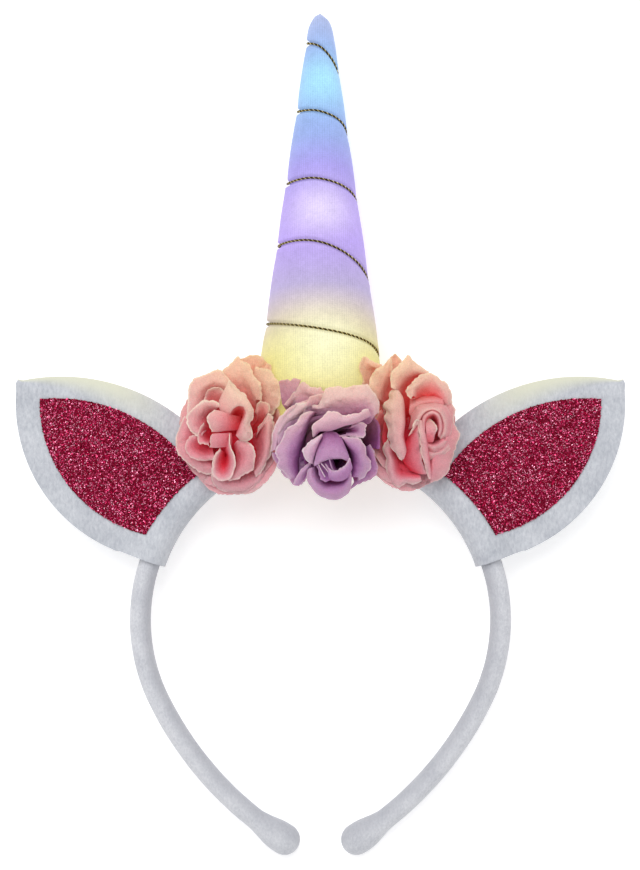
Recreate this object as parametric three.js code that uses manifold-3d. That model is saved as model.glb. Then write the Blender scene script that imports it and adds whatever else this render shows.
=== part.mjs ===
// A unicorn horn headband: a padded hoop with two felt ears, a stuffed horn wound with a
// gold cord, and three fabric roses at the horn's foot. Millimetres, +Z up.
// Everything is modelled in the hoop's own frame: X to the wearer's left, Y up over the
// head, Z out of the front. The whole is then laid on its back, as it rests on a table.
import * as THREE from "three";
import { mergeVertices } from "three/addons/utils/BufferGeometryUtils.js";
import Module from "manifold-3d";

const wasm = await Module();
wasm.setup();

const DEG = Math.PI / 180;
const GAP = 0.3; // air left between two pieces that touch on the real thing

// Hoop: an arch over the head that runs on into two straighter legs with ball ends.
const ARCH_RADIUS = 61.6;
const ARCH_SWEEP = 116 * DEG; // from the top to where a leg begins
const LEG_RADIUS = 117.5;
const LEG_SWEEP = 31.8 * DEG;
const HOOP_THICK = 7.2; // across, in the hoop's plane
const HOOP_DEPTH = 10; // front to back
const BALL_RADIUS = 5.4;
const HOOP_OUTER = ARCH_RADIUS + HOOP_THICK / 2;

// Horn: a cone with a rounded foot and tip, bulging between the turns of its cord.
const HORN_LENGTH = 152;
const HORN_WIDEST = 20.3; // radius where the cone begins
const HORN_WIDEST_AT = 24; // height of that place above the seat
const HORN_HALF_ANGLE = 7.6 * DEG;
const HORN_FOOT_RADIUS = 14;
const HORN_FOOT_DROP = 3; // how far below the seat's top the rounded foot begins
const HORN_TIP_ROUND = 7; // length of the rounded tip
const HORN_FORWARD = 2; // the horn's axis meets the hoop this far in front of its middle
const HORN_FLAT_AT = 0.38; // the resting flat lies this far outside the plain cone
const HORN_STEPS = 20; // facets round the horn

// Gold cord, held in the groove that it pulls into the horn.
const CORD_WIDTH = 1.2;
const GROOVE_DEPTH = 1.15;
const CORD_FROM = 1.2; // in turns from the tip
const CORD_TO = 6.85;

// Height of each turn of the cord, as shares of the horn's length, from the tip down.
const CORD_TURNS = [
  { left: 0.994, front: 0.987, right: 0.976 },
  { left: 0.925, front: 0.904, right: 0.848 },
  { left: 0.756, front: 0.737, right: 0.703 },
  { left: 0.58, front: 0.566, right: 0.533 },
  { left: 0.429, front: 0.408, right: 0.344 },
  { left: 0.244, front: 0.197, right: 0.169 },
  { left: 0.08, front: 0.055, right: 0.02 },
  { left: -0.06, front: -0.08, right: -0.11 },
  { left: -0.2, front: -0.22, right: -0.25 },
];

// The horn's skin between two turns: how far on it is, and how far in or out, as a share
// of the groove's depth.
const HORN_SKIN = [
  { on: 0, out: -1 },
  { on: 0.05, out: -0.85 },
  { on: 0.1, out: -0.05 },
  { on: 0.28, out: 0.34 },
  { on: 0.5, out: 0.48 },
  { on: 0.72, out: 0.34 },
  { on: 0.9, out: -0.05 },
  { on: 0.95, out: -0.85 },
];

// Ears: a felt leaf between two arcs, its foot folded round the hoop.
const EAR_FROM = 71 * DEG; // lower end of the fold, from the top of the arch
const EAR_TO = 32.5 * DEG; // upper end
const EAR_UPPER = { x: -88.5, y: 17.6, radius: 65.7, foot: 42.2 * DEG, tip: 102.5 * DEG };
const EAR_LOWER = { x: -49.6, y: 74.35, radius: 54.5, foot: 248.3 * DEG, tip: 174.5 * DEG };
const EAR_THICK = 3; // two layers of felt
const SLEEVE_WALL = 1.6; // one layer, round the hoop
const EAR_TIP_LENGTH = 1.3;
const EAR_SLOPE = 13; // beyond this distance from the hoop's middle the leaf is flat

// Glitter fabric on the front of each ear.
const PANEL_THICK = 0.6;
const PANEL_INSET = { upperTip: 7.3, upperFoot: 9.2, lowerTip: 8.3, lowerFoot: 8.5 };
const PANEL_FOOT = { upper: 34.6 * DEG, lower: 257.6 * DEG }; // along the ear's two arcs
const PANEL_TIP = { upper: 97.3 * DEG, lower: 178.2 * DEG };

// Roses: cuts of petals stacked on one another round a rolled heart.
const PETAL_THICK = 1;
const LAYER_STEP = 1.5; // from the foot of one cut to the foot of the next
const KNOT_RADIUS = 3.2; // the gathered foot under a rose's outer cut
const KNOT_DEPTH = 1.2;
const NOTCH = 0.8; // reach between two petals, as a share of theirs
const HEART_RADIUS = 4.2;
const HEART_HEIGHT = 13;

// How each cut of petals rises from its foot to its rim: the height at the rim, as a share
// of the petal's reach, how late it rises, and how much of the rise the curled rim loses.
const LAYER_RISE = {
  outer: { height: 0.42, power: 1.9, curl: 0.2, knot: KNOT_DEPTH },
  middle: { height: 1, power: 2, curl: 0.1 },
  inner: { height: 1.5, power: 2.2, curl: 0 },
};
const LAYER_ROWS = [0.32, 0.58, 0.82, 1]; // shares of the way from the foot to the rim

// Each rose: where its foot sits, which way it faces, and the petals of each cut, by
// direction, reach and, where a petal is lifted by what it lies on, how much more it rises.
const ROSES = [
  {
    name: "rose_left",
    colour: "#e79ba0",
    foot: [-28.6, 59.9, 4.8],
    faces: [-0.18, 0.32, 0.93],
    outer: [[22, 20, 1.8], [72, 26], [118, 21], [180, 19], [236, 21], [286, 24.5], [335, 18, 1.5]],
    middle: [[20, 13], [105, 17], [175, 13.5], [235, 15.5], [298, 16.5]],
    inner: [[40, 9], [160, 9], [270, 9.5]],
  },
  {
    name: "rose_middle",
    colour: "#b58ac0",
    foot: [-0.8, 62.9, 17.9],
    faces: [0.17, -0.37, 0.91],
    outer: [[50, 24], [88, 23], [122, 24.5], [165, 19], [215, 16.5], [275, 17], [328, 17.5]],
    middle: [[30, 14], [85, 16.5], [155, 16], [225, 13], [300, 13]],
    inner: [[60, 9], [180, 9], [300, 9]],
  },
  {
    name: "rose_right",
    colour: "#e79ba0",
    foot: [27.9, 60.1, 5.8],
    faces: [0.42, 0.3, 0.86],
    outer: [[20, 18], [62, 21], [98, 25], [132, 24], [190, 13], [250, 22], [310, 20]],
    middle: [[30, 13], [95, 15.5], [175, 16], [250, 15], [315, 13]],
    inner: [[20, 9], [140, 9], [260, 9]],
  },
];

// Surfaces and solids.

function closed(triangles) {
  const flat = triangles.flatMap((corner) => [corner.x, corner.y, corner.z]);
  const geometry = new THREE.BufferGeometry();
  geometry.setAttribute("position", new THREE.Float32BufferAttribute(flat, 3));
  return mergeVertices(geometry, 1e-4);
}

function quad(list, a, b, c, d) {
  list.push(a, b, c, a, c, d);
}

// A solid from closed rings of points, its two ends closed to a point each.
function lofted(rings, start, end) {
  const list = [];
  const count = rings[0].length;
  for (let j = 0; j < count; j++) {
    const k = (j + 1) % count;
    list.push(start, rings[0][k], rings[0][j]);
    for (let i = 0; i + 1 < rings.length; i++) {
      quad(list, rings[i][j], rings[i][k], rings[i + 1][k], rings[i + 1][j]);
    }
    list.push(end, rings.at(-1)[j], rings.at(-1)[k]);
  }
  return closed(list);
}

// A solid sheet between two grids of points with the same rows and columns.
function sheet(front, back) {
  const list = [];
  const rows = front.length;
  const columns = front[0].length;
  for (let i = 0; i + 1 < rows; i++) {
    for (let j = 0; j + 1 < columns; j++) {
      quad(list, front[i][j], front[i][j + 1], front[i + 1][j + 1], front[i + 1][j]);
      quad(list, back[i][j + 1], back[i][j], back[i + 1][j], back[i + 1][j + 1]);
    }
    const last = columns - 1;
    quad(list, back[i][0], front[i][0], front[i + 1][0], back[i + 1][0]);
    quad(list, front[i][last], back[i][last], back[i + 1][last], front[i + 1][last]);
  }
  for (let j = 0; j + 1 < columns; j++) {
    const last = rows - 1;
    quad(list, back[0][j], back[0][j + 1], front[0][j + 1], front[0][j]);
    quad(list, front[last][j], front[last][j + 1], back[last][j + 1], back[last][j]);
  }
  return closed(list);
}

function mirrored(geometry) {
  const index = [...geometry.index.array];
  for (let i = 0; i < index.length; i += 3) {
    [index[i + 1], index[i + 2]] = [index[i + 2], index[i + 1]];
  }
  const turned = geometry.clone().scale(-1, 1, 1);
  turned.setIndex(index);
  return turned;
}

function solidOf(geometry) {
  const bare = geometry.clone();
  bare.deleteAttribute("normal");
  bare.deleteAttribute("uv");
  const merged = mergeVertices(bare, 1e-4);
  return new wasm.Manifold(
    new wasm.Mesh({
      numProp: 3,
      vertProperties: new Float32Array(merged.attributes.position.array),
      triVerts: new Uint32Array(merged.index.array),
    }),
  );
}

function geometryOf(solid) {
  const mesh = solid.getMesh();
  const geometry = new THREE.BufferGeometry();
  geometry.setAttribute("position", new THREE.BufferAttribute(mesh.vertProperties, 3));
  geometry.setIndex(new THREE.BufferAttribute(mesh.triVerts, 1));
  return geometry;
}

const mix = THREE.MathUtils.lerp;
const smooth = THREE.MathUtils.smoothstep;

function onCircle(circle, angle, radius = circle.radius) {
  return new THREE.Vector2(
    circle.x + radius * Math.cos(angle),
    circle.y + radius * Math.sin(angle),
  );
}

// The hoop.

// A place on the hoop's middle line: its point and its outward direction.
// The distance runs from the top of the arch, positive towards +X.
function onHoop(distance) {
  const side = Math.sign(distance) || 1;
  const run = Math.abs(distance);
  const archLength = ARCH_RADIUS * ARCH_SWEEP;
  const turn = run < archLength ? run / ARCH_RADIUS : ARCH_SWEEP + (run - archLength) / LEG_RADIUS;
  const out = new THREE.Vector2(side * Math.sin(turn), Math.cos(turn));
  if (run < archLength) {
    return { point: out.clone().multiplyScalar(ARCH_RADIUS), out };
  }
  const centre = new THREE.Vector2(side * Math.sin(ARCH_SWEEP), Math.cos(ARCH_SWEEP));
  centre.multiplyScalar(ARCH_RADIUS - LEG_RADIUS);
  return { point: centre.add(out.clone().multiplyScalar(LEG_RADIUS)), out };
}

const HOOP_HALF = ARCH_RADIUS * ARCH_SWEEP + LEG_RADIUS * LEG_SWEEP;
const BALL_STATIONS = [0.96, 0.8, 0.5, 0, -0.36, -0.62];

function hoopRing(distance, half, grow, corners) {
  const { point, out } = onHoop(distance);
  const ring = [];
  for (let i = 0; i < corners; i++) {
    const angle = (2 * Math.PI * i) / corners;
    const across = (half.thick + grow) * Math.cos(angle);
    const depth = (half.depth + grow) * Math.sin(angle);
    ring.push(new THREE.Vector3(point.x + out.x * across, point.y + out.y * across, depth));
  }
  return ring;
}

// The hoop's solid, or the same made larger all round by grow.
function hoopGeometry(grow = 0) {
  const corners = 12;
  const plain = { thick: HOOP_THICK / 2, depth: HOOP_DEPTH / 2 };
  const rings = [];
  for (const share of BALL_STATIONS) {
    const ball = BALL_RADIUS * Math.sqrt(1 - share * share);
    const half = {
      thick: share > 0 ? ball : Math.max(ball, plain.thick),
      depth: share > 0 ? ball : Math.max(ball, plain.depth),
    };
    rings.push({ at: HOOP_HALF + share * BALL_RADIUS, half });
  }
  const body = HOOP_HALF - BALL_RADIUS;
  const steps = 44;
  const left = rings.map(({ at, half }) => hoopRing(-at, half, grow, corners));
  const right = rings.map(({ at, half }) => hoopRing(at, half, grow, corners)).reverse();
  const middle = [];
  for (let i = 0; i <= steps; i++) {
    middle.push(hoopRing(mix(-body, body, i / steps), plain, grow, corners));
  }
  const endPoint = (side) => {
    const { point } = onHoop(side * (HOOP_HALF + BALL_RADIUS + grow));
    return new THREE.Vector3(point.x, point.y, 0);
  };
  return lofted([...left, ...middle, ...right], endPoint(-1), endPoint(1));
}

const hoopRoom = solidOf(hoopGeometry(GAP));

// The ears.

// Half the ear's thickness at a distance outside the hoop's middle line.
function earHalf(beyond) {
  const depth = HOOP_DEPTH / 2 + GAP + SLEEVE_WALL;
  const inner = HOOP_THICK / 2 + GAP + SLEEVE_WALL;
  if (beyond < 0) return Math.max(0.8, depth * Math.sqrt(Math.max(0, 1 - (beyond / inner) ** 2)));
  return mix(depth, EAR_THICK / 2, smooth(beyond, 0, EAR_SLOPE));
}

// A point of a leaf between a lower and an upper edge: u across it, v from foot to tip.
function onLeaf(u, v, lower, upper, footArc) {
  const a = lower(v);
  const b = upper(v);
  const straight = new THREE.Vector2(mix(a.x, b.x, u), mix(a.y, b.y, u));
  const a0 = lower(0);
  const b0 = upper(0);
  const curved = footArc(u, a0, b0);
  const chord = new THREE.Vector2(mix(a0.x, b0.x, u), mix(a0.y, b0.y, u));
  return straight.add(curved.sub(chord).multiplyScalar(1 - v));
}

// A foot edge that keeps to the hoop's curve between two corners.
function hoopArc(u, a, b) {
  const angle = mix(Math.atan2(a.y, a.x), Math.atan2(b.y, b.x), u);
  const radius = mix(a.length(), b.length(), u);
  return new THREE.Vector2(radius * Math.cos(angle), radius * Math.sin(angle));
}

function grids(outline, zFront, zBack) {
  const front = outline.map((row) => row.map((p) => new THREE.Vector3(p.x, p.y, zFront(p))));
  const back = outline.map((row) => row.map((p) => new THREE.Vector3(p.x, p.y, zBack(p))));
  return sheet(front, back);
}

const EAR_COLUMNS = 9;
const EAR_FOLD_ROWS = [-1, -0.88, -0.55, -0.1]; // shares of the fold's reach inside the hoop
const EAR_SLOPE_ROWS = 6;
const EAR_LEAF_ROWS = 7;

function earGeometry() {
  const lower = (v) => onCircle(EAR_LOWER, mix(EAR_LOWER.foot, EAR_LOWER.tip, v));
  const upper = (v) => onCircle(EAR_UPPER, mix(EAR_UPPER.foot, EAR_UPPER.tip, v));
  const inner = HOOP_THICK / 2 + GAP + SLEEVE_WALL;
  const beyondRows = EAR_FOLD_ROWS.map((share) => share * inner);
  for (let i = 1; i <= EAR_SLOPE_ROWS; i++) beyondRows.push((EAR_SLOPE * i) / (EAR_SLOPE_ROWS + 1));
  const shares = Array.from({ length: EAR_COLUMNS + 1 }, (_, j) => j / EAR_COLUMNS);
  const outline = beyondRows.map((beyond) =>
    shares.map((u) => {
      const turn = mix(EAR_FROM, EAR_TO, u);
      const radius = ARCH_RADIUS + beyond;
      return new THREE.Vector2(-radius * Math.sin(turn), radius * Math.cos(turn));
    }),
  );
  for (let i = 0; i <= EAR_LEAF_ROWS; i++) {
    outline.push(shares.map((u) => onLeaf(u, i / EAR_LEAF_ROWS, lower, upper, hoopArc)));
  }
  const last = outline.at(-1);
  const before = outline.at(-2);
  const middle = last[0].clone().lerp(last.at(-1), 0.5);
  const beforeMiddle = before[0].clone().lerp(before.at(-1), 0.5);
  const onward = middle.clone().sub(beforeMiddle).setLength(EAR_TIP_LENGTH);
  outline.push(last.map((p) => p.clone().lerp(middle, 0.55).add(onward)));
  const half = (p) => earHalf(p.length() - ARCH_RADIUS);
  const leaf = solidOf(grids(outline, half, (p) => -half(p)));
  return geometryOf(leaf.subtract(hoopRoom));
}

const PANEL_COLUMNS = 8;
const PANEL_ROWS = [0, 0.05, 0.1, 0.15, 0.21, 0.34, 0.5, 0.66, 0.82, 1];

function panelGeometry() {
  const edge = (circle, foot, tip, insetFoot, insetTip) => (v) =>
    onCircle(circle, mix(foot, tip, v), circle.radius - mix(insetFoot, insetTip, v));
  const inset = PANEL_INSET;
  const lower = edge(EAR_LOWER, PANEL_FOOT.lower, PANEL_TIP.lower, inset.lowerFoot, inset.lowerTip);
  const upper = edge(EAR_UPPER, PANEL_FOOT.upper, PANEL_TIP.upper, inset.upperFoot, inset.upperTip);
  const outline = PANEL_ROWS.map((v) =>
    Array.from({ length: PANEL_COLUMNS + 1 }, (_, j) =>
      onLeaf(j / PANEL_COLUMNS, v, lower, upper, hoopArc),
    ),
  );
  const under = (p) => earHalf(p.length() - ARCH_RADIUS) + GAP;
  return grids(outline, (p) => under(p) + PANEL_THICK, under);
}

// The horn and its cord, in the horn's own frame: Y along its axis, Z to the front.

// Height of the cord on the horn, by the number of turns down from the tip. A whole
// number is at the back, a quarter on at the left, a half at the front.
const TURN_KNOTS = [{ turn: 0, height: 1 }];
CORD_TURNS.forEach((row, n) => {
  TURN_KNOTS.push({ turn: n + 0.25, height: row.left });
  TURN_KNOTS.push({ turn: n + 0.5, height: row.front });
  TURN_KNOTS.push({ turn: n + 0.75, height: row.right });
});

function cordHeight(turn) {
  const knots = TURN_KNOTS;
  const last = knots.length - 1;
  let i = knots.findIndex((knot) => knot.turn > turn) - 1;
  if (i < 0) i = turn <= 0 ? 0 : last - 1;
  const slope = (k) => {
    const a = knots[Math.max(0, k - 1)];
    const b = knots[Math.min(last, k + 1)];
    return (b.height - a.height) / (b.turn - a.turn);
  };
  const a = knots[i];
  const b = knots[i + 1];
  const span = b.turn - a.turn;
  const t = (turn - a.turn) / span;
  const straight = mix(a.height, b.height, t);
  const bend = (slope(i) * span - (b.height - a.height)) * (1 - t);
  const unbend = (slope(i + 1) * span - (b.height - a.height)) * t;
  return HORN_LENGTH * (straight + t * (1 - t) * (bend - unbend));
}

// The plain cone's radius at a height.
function hornRadius(height) {
  const cone = HORN_WIDEST - (height - HORN_WIDEST_AT) * Math.tan(HORN_HALF_ANGLE);
  if (height < HORN_WIDEST_AT) {
    const up = Math.max(0, (height + HORN_FOOT_DROP) / (HORN_WIDEST_AT + HORN_FOOT_DROP));
    return mix(HORN_FOOT_RADIUS, HORN_WIDEST, Math.sin((up * Math.PI) / 2));
  }
  const tip = Math.max(0, (height - HORN_LENGTH + HORN_TIP_ROUND) / HORN_TIP_ROUND);
  return cone * Math.sqrt(Math.max(0, 1 - tip * tip));
}

// How much of the groove's depth a place has: less where the horn is thin.
function grooveShare(radius) {
  return GROOVE_DEPTH * Math.min(1, radius / 5);
}

function onHorn(radius, step, height) {
  const angle = 2 * Math.PI * (step / HORN_STEPS - 0.5);
  return new THREE.Vector3(radius * Math.sin(angle), height, radius * Math.cos(angle));
}

const HORN_TURNS = 7;

function hornGeometry() {
  const rows = [];
  for (let n = 0; n <= HORN_TURNS; n++) {
    for (const skin of HORN_SKIN) rows.push({ n, ...skin });
  }
  const vertex = (row, j) => {
    const above = cordHeight(row.n + j / HORN_STEPS);
    const below = cordHeight(row.n + 1 + j / HORN_STEPS);
    const height = mix(above, below, row.on);
    const plain = hornRadius(height);
    return onHorn(Math.max(0, plain + row.out * grooveShare(plain)), j, height);
  };
  const perTurn = HORN_SKIN.length;
  const ends = HORN_TURNS * perTurn;
  const grid = rows.slice(0, ends + 1).map((row) =>
    Array.from({ length: HORN_STEPS + 1 }, (_, j) => vertex(row, j)),
  );
  const list = [];
  for (let i = 0; i < ends; i++) {
    for (let j = 0; j < HORN_STEPS; j++) {
      quad(list, grid[i][j], grid[i + 1][j], grid[i + 1][j + 1], grid[i][j + 1]);
    }
  }
  // The tip, between the first turn and the back seam.
  const tip = grid[0][0];
  for (let j = 1; j + 1 < HORN_STEPS; j++) list.push(tip, grid[0][j], grid[0][j + 1]);
  for (let i = 0; i < perTurn; i++) {
    list.push(grid[0][HORN_STEPS - 1], grid[i + 1][0], grid[i][0]);
  }
  // The underside, between the last turn and the back seam.
  const under = new THREE.Vector3(0, grid[ends][0].y, 0);
  for (let j = 0; j < HORN_STEPS; j++) list.push(under, grid[ends][j + 1], grid[ends][j]);
  for (let i = ends - perTurn; i < ends; i++) {
    list.push(under, grid[i][HORN_STEPS], grid[i + 1][HORN_STEPS]);
  }
  return closed(list);
}

function cordGeometry() {
  const corners = 6;
  const radius = CORD_WIDTH / 2;
  const steps = Math.round((CORD_TO - CORD_FROM) * HORN_STEPS);
  const first = Math.round(CORD_FROM * HORN_STEPS);
  const place = (i) => {
    const turn = (first + i) / HORN_STEPS;
    const height = cordHeight(turn);
    const plain = hornRadius(height);
    return onHorn(plain - grooveShare(plain) + GAP + radius, first + i, height);
  };
  const rings = [];
  for (let i = 0; i <= steps; i++) {
    const here = place(i);
    const along = place(i + 1).sub(place(i - 1)).normalize();
    const out = new THREE.Vector3(here.x, 0, here.z).normalize();
    const up = new THREE.Vector3().crossVectors(along, out).normalize();
    out.crossVectors(up, along);
    const ring = [];
    for (let k = 0; k < corners; k++) {
      const angle = (2 * Math.PI * k) / corners;
      ring.push(
        here
          .clone()
          .addScaledVector(out, radius * Math.cos(angle))
          .addScaledVector(up, radius * Math.sin(angle)),
      );
    }
    rings.push(ring);
  }
  return lofted(rings, place(0), place(steps));
}

// How the whole lies on its back: on the backs of the ball ends and along the horn. The
// horn leans back from the hoop by as much as lays its back flat.
const [, LEG_END_Y] = onHoop(HOOP_HALF).point.toArray();
const HORN_SEAT = HOOP_OUTER + GAP;
const CONE_AT_SEAT = HORN_WIDEST + HORN_WIDEST_AT * Math.tan(HORN_HALF_ANGLE);
const SEAT_ABOVE_TABLE = CONE_AT_SEAT * Math.cos(HORN_HALF_ANGLE) + HORN_FLAT_AT;
const SEAT_FROM_ENDS = Math.hypot(HORN_SEAT - LEG_END_Y, HORN_FORWARD);
const HOOP_TILT =
  Math.asin((SEAT_ABOVE_TABLE - BALL_RADIUS) / SEAT_FROM_ENDS) -
  Math.atan2(HORN_FORWARD, HORN_SEAT - LEG_END_Y);
const HORN_LEAN = HOOP_TILT + HORN_HALF_ANGLE;

// The horn cut to sit on the hoop, with its back flattened where it rests.
function fittedHornGeometry() {
  const toHoop = new THREE.Matrix4()
    .makeTranslation(0, HORN_SEAT, HORN_FORWARD)
    .multiply(new THREE.Matrix4().makeRotationX(-HORN_LEAN));
  const seat = new THREE.CylinderGeometry(HORN_SEAT, HORN_SEAT, 6 * HORN_WIDEST, 96);
  seat.rotateX(Math.PI / 2).applyMatrix4(toHoop.clone().invert());
  const table = new THREE.BoxGeometry(4 * HORN_WIDEST, 2 * HORN_LENGTH, HORN_WIDEST);
  table.translate(0, HORN_LENGTH / 2, -HORN_WIDEST / 2);
  table.translate(0, 0, -SEAT_ABOVE_TABLE).rotateX(HORN_HALF_ANGLE);
  const horn = solidOf(hornGeometry()).subtract(solidOf(seat)).subtract(solidOf(table));
  return geometryOf(horn);
}

// The roses, each in its own frame: foot at the origin, facing +Z.

const PETAL_ACROSS = [-1, -0.78, -0.3, 0.3, 0.78]; // samples across a petal, notch first

function layerGeometry(petals, { height, power, curl, knot = 0 }, foot) {
  const spokes = [];
  petals.forEach(([direction, reach, more = 1], i) => {
    const before = petals.at(i - 1);
    const after = petals[(i + 1) % petals.length];
    const toBefore = THREE.MathUtils.euclideanModulo(direction - before[0], 360) / 2;
    const toAfter = THREE.MathUtils.euclideanModulo(after[0] - direction, 360) / 2;
    for (const x of PETAL_ACROSS) {
      const angle = (direction + x * (x < 0 ? toBefore : toAfter)) * DEG;
      const full = mix(reach, x < 0 ? before[1] : after[1], (x * x) / 2);
      const length = x === -1 ? NOTCH * full : full * (1 - 0.1 * x ** 2);
      const rise = height * mix(more, (x < 0 ? before[2] : after[2]) ?? 1, (x * x) / 2);
      spokes.push({ angle, full, length, rise });
    }
  });
  const riseAt = (share) => share ** power * (1 - curl * share ** 6);
  const surface = (lift) =>
    LAYER_ROWS.map((along) =>
      spokes.map(({ angle, full, length, rise }) => {
        const share = (along * length) / full;
        const slope = Math.atan((rise * (riseAt(share + 0.01) - riseAt(share - 0.01))) / 0.02);
        const out = along * length - lift * Math.sin(slope);
        const up = foot + full * rise * riseAt(share) + lift * Math.cos(slope);
        return new THREE.Vector3(out * Math.cos(angle), out * Math.sin(angle), up);
      }),
    );
  const rings = [...surface(0), ...surface(PETAL_THICK).reverse()];
  const gathered = ({ angle }) =>
    new THREE.Vector3(KNOT_RADIUS * Math.cos(angle), KNOT_RADIUS * Math.sin(angle), foot - knot);
  if (knot) rings.unshift(spokes.map(gathered));
  return lofted(
    rings,
    new THREE.Vector3(0, 0, foot - knot),
    new THREE.Vector3(0, 0, foot + PETAL_THICK),
  );
}

const HEART_ROWS = [
  { up: 0.12, wide: 0.55 },
  { up: 0.35, wide: 0.95 },
  { up: 0.65, wide: 1 },
  { up: 0.9, wide: 0.8 },
  { up: 1, wide: 0.55 },
];

function heartGeometry(foot) {
  const corners = 12;
  const ring = ({ up, wide }) =>
    Array.from({ length: corners }, (_, k) => {
      const angle = (2 * Math.PI * k) / corners;
      const lobed = 1 + 0.1 * Math.cos(3 * angle + 4 * up);
      const radius = HEART_RADIUS * wide * lobed;
      return new THREE.Vector3(
        radius * Math.cos(angle),
        radius * Math.sin(angle),
        foot + HEART_HEIGHT * up,
      );
    });
  return lofted(
    HEART_ROWS.map(ring),
    new THREE.Vector3(0, 0, foot),
    new THREE.Vector3(0, 0, foot + HEART_HEIGHT * 0.86),
  );
}

// The assembly.

function piece(name, geometry, colour, roughness = 0.9, metalness = 0) {
  const material = new THREE.MeshStandardMaterial({ color: colour, roughness, metalness });
  material.name = name;
  const mesh = new THREE.Mesh(geometry, material);
  mesh.name = name;
  return mesh;
}

const hoopFrame = new THREE.Group();
hoopFrame.name = "hoop_frame";
hoopFrame.rotation.x = HOOP_TILT;

hoopFrame.add(piece("headband", hoopGeometry(), "#d8dae2"));

const ear = earGeometry();
const panel = panelGeometry();
hoopFrame.add(piece("ear_left", ear, "#d8dae2"));
hoopFrame.add(piece("ear_right", mirrored(ear), "#d8dae2"));
hoopFrame.add(piece("ear_glitter_left", panel, "#8b0f33", 0.5));
hoopFrame.add(piece("ear_glitter_right", mirrored(panel), "#8b0f33", 0.5));

const hornFrame = new THREE.Group();
hornFrame.name = "horn_frame";
hornFrame.position.set(0, HORN_SEAT, HORN_FORWARD);
hornFrame.rotation.x = -HORN_LEAN;
hornFrame.add(piece("horn", fittedHornGeometry(), "#cbbcf2", 0.8));
hornFrame.add(piece("horn_cord", cordGeometry(), "#8f7a35", 0.35, 0.9));
hoopFrame.add(hornFrame);

for (const rose of ROSES) {
  const frame = new THREE.Group();
  frame.name = rose.name + "_frame";
  frame.position.set(...rose.foot);
  const faces = new THREE.Vector3(...rose.faces).normalize();
  frame.quaternion.setFromUnitVectors(new THREE.Vector3(0, 0, 1), faces);
  ["outer", "middle", "inner"].forEach((layer, i) => {
    const cut = layerGeometry(rose[layer], LAYER_RISE[layer], i * LAYER_STEP);
    frame.add(piece(rose.name + "_" + layer, cut, rose.colour));
  });
  frame.add(piece(rose.name + "_heart", heartGeometry(3 * LAYER_STEP), rose.colour));
  hoopFrame.add(frame);
}

const headband = new THREE.Group();
headband.name = "unicorn_horn_headband";
headband.add(hoopFrame);
headband.updateMatrixWorld(true);
const box = new THREE.Box3().setFromObject(headband, true);
hoopFrame.position.set(
  -(box.min.x + box.max.x) / 2,
  -(box.min.y + box.max.y) / 2,
  -box.min.z,
);
headband.updateMatrixWorld(true);

export default headband;
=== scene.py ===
# %% [markdown]
# # A unicorn horn headband
# A padded hoop lies on its back with a stuffed, lit horn, a gold cord wound down the horn,
# two felt ears with glitter fronts, and three fabric roses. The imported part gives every
# piece its place and size; this lesson gives each one its real surface.

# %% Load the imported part
import math
import random

import bmesh
import bpy
from mathutils import Matrix, Vector, noise


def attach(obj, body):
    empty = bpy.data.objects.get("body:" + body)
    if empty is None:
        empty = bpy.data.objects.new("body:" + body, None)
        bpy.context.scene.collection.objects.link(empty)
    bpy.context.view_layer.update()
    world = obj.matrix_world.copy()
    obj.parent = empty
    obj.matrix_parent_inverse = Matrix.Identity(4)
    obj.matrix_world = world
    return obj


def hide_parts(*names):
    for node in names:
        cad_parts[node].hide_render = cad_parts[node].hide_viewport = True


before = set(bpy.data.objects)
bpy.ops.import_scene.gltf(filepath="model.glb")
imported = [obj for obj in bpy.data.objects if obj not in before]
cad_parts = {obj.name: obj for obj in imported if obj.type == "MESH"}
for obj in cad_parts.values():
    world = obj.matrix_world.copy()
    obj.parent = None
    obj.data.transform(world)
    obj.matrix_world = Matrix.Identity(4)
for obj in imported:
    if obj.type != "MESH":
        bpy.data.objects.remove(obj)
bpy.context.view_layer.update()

print("nodes in the packed part:", len(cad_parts))

# %% [markdown]
# ## Three frames
# A headband is easiest to describe standing up: X towards the wearer's left, Y up over the
# head and Z out of the front, with the middle of the arch at the origin. A matrix then lays
# everything on its back, and turns millimetres into Blender's metres. The horn has a frame
# of its own, with Y along its axis, because it leans back a little from the hoop.

# %% Frames of the hoop and the horn
MM = 0.001
HOOP_TILT = 0.1162638
HORN_LEAN = 0.2489089
LAID_ON_BACK = Matrix.Translation((0, -67.8422 * MM, 14.0912 * MM))
HOOP_FRAME = LAID_ON_BACK @ Matrix.Rotation(HOOP_TILT, 4, "X") @ Matrix.Scale(MM, 4)
HORN_SEAT = 65.5
HORN_FORWARD = 2.0
HORN_PLACE = Matrix.Translation((0, HORN_SEAT, HORN_FORWARD))
HORN_FRAME = HOOP_FRAME @ HORN_PLACE @ Matrix.Rotation(-HORN_LEAN, 4, "X")


def mix(a, b, share):
    return a + (b - a) * share


def smooth(x, start, end):
    t = min(1, max(0, (x - start) / (end - start)))
    return t * t * (3 - 2 * t)


def around(step, steps):
    return 2 * math.pi * step / steps


print("hoop leans", round(math.degrees(HOOP_TILT), 2), "degrees off the table")

# %% [markdown]
# ## Meshes from grids
# Most pieces here are a grid of points that follows a rule: rows along the piece and
# columns across it. One helper joins such a grid with faces, and one turns points and faces
# into an object that stays at the origin, with its place in the mesh itself. Numbers that a
# material needs later, such as how far along a petal a point lies, are kept as attributes.


# %% Mesh helpers
def grid_faces(rows, columns, first=0, wrap=False):
    faces = []
    for i in range(rows - 1):
        for j in range(columns if wrap else columns - 1):
            k = (j + 1) % columns
            a, b = first + i * columns, first + (i + 1) * columns
            faces.append((a + j, a + k, b + k, b + j))
    return faces


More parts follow.
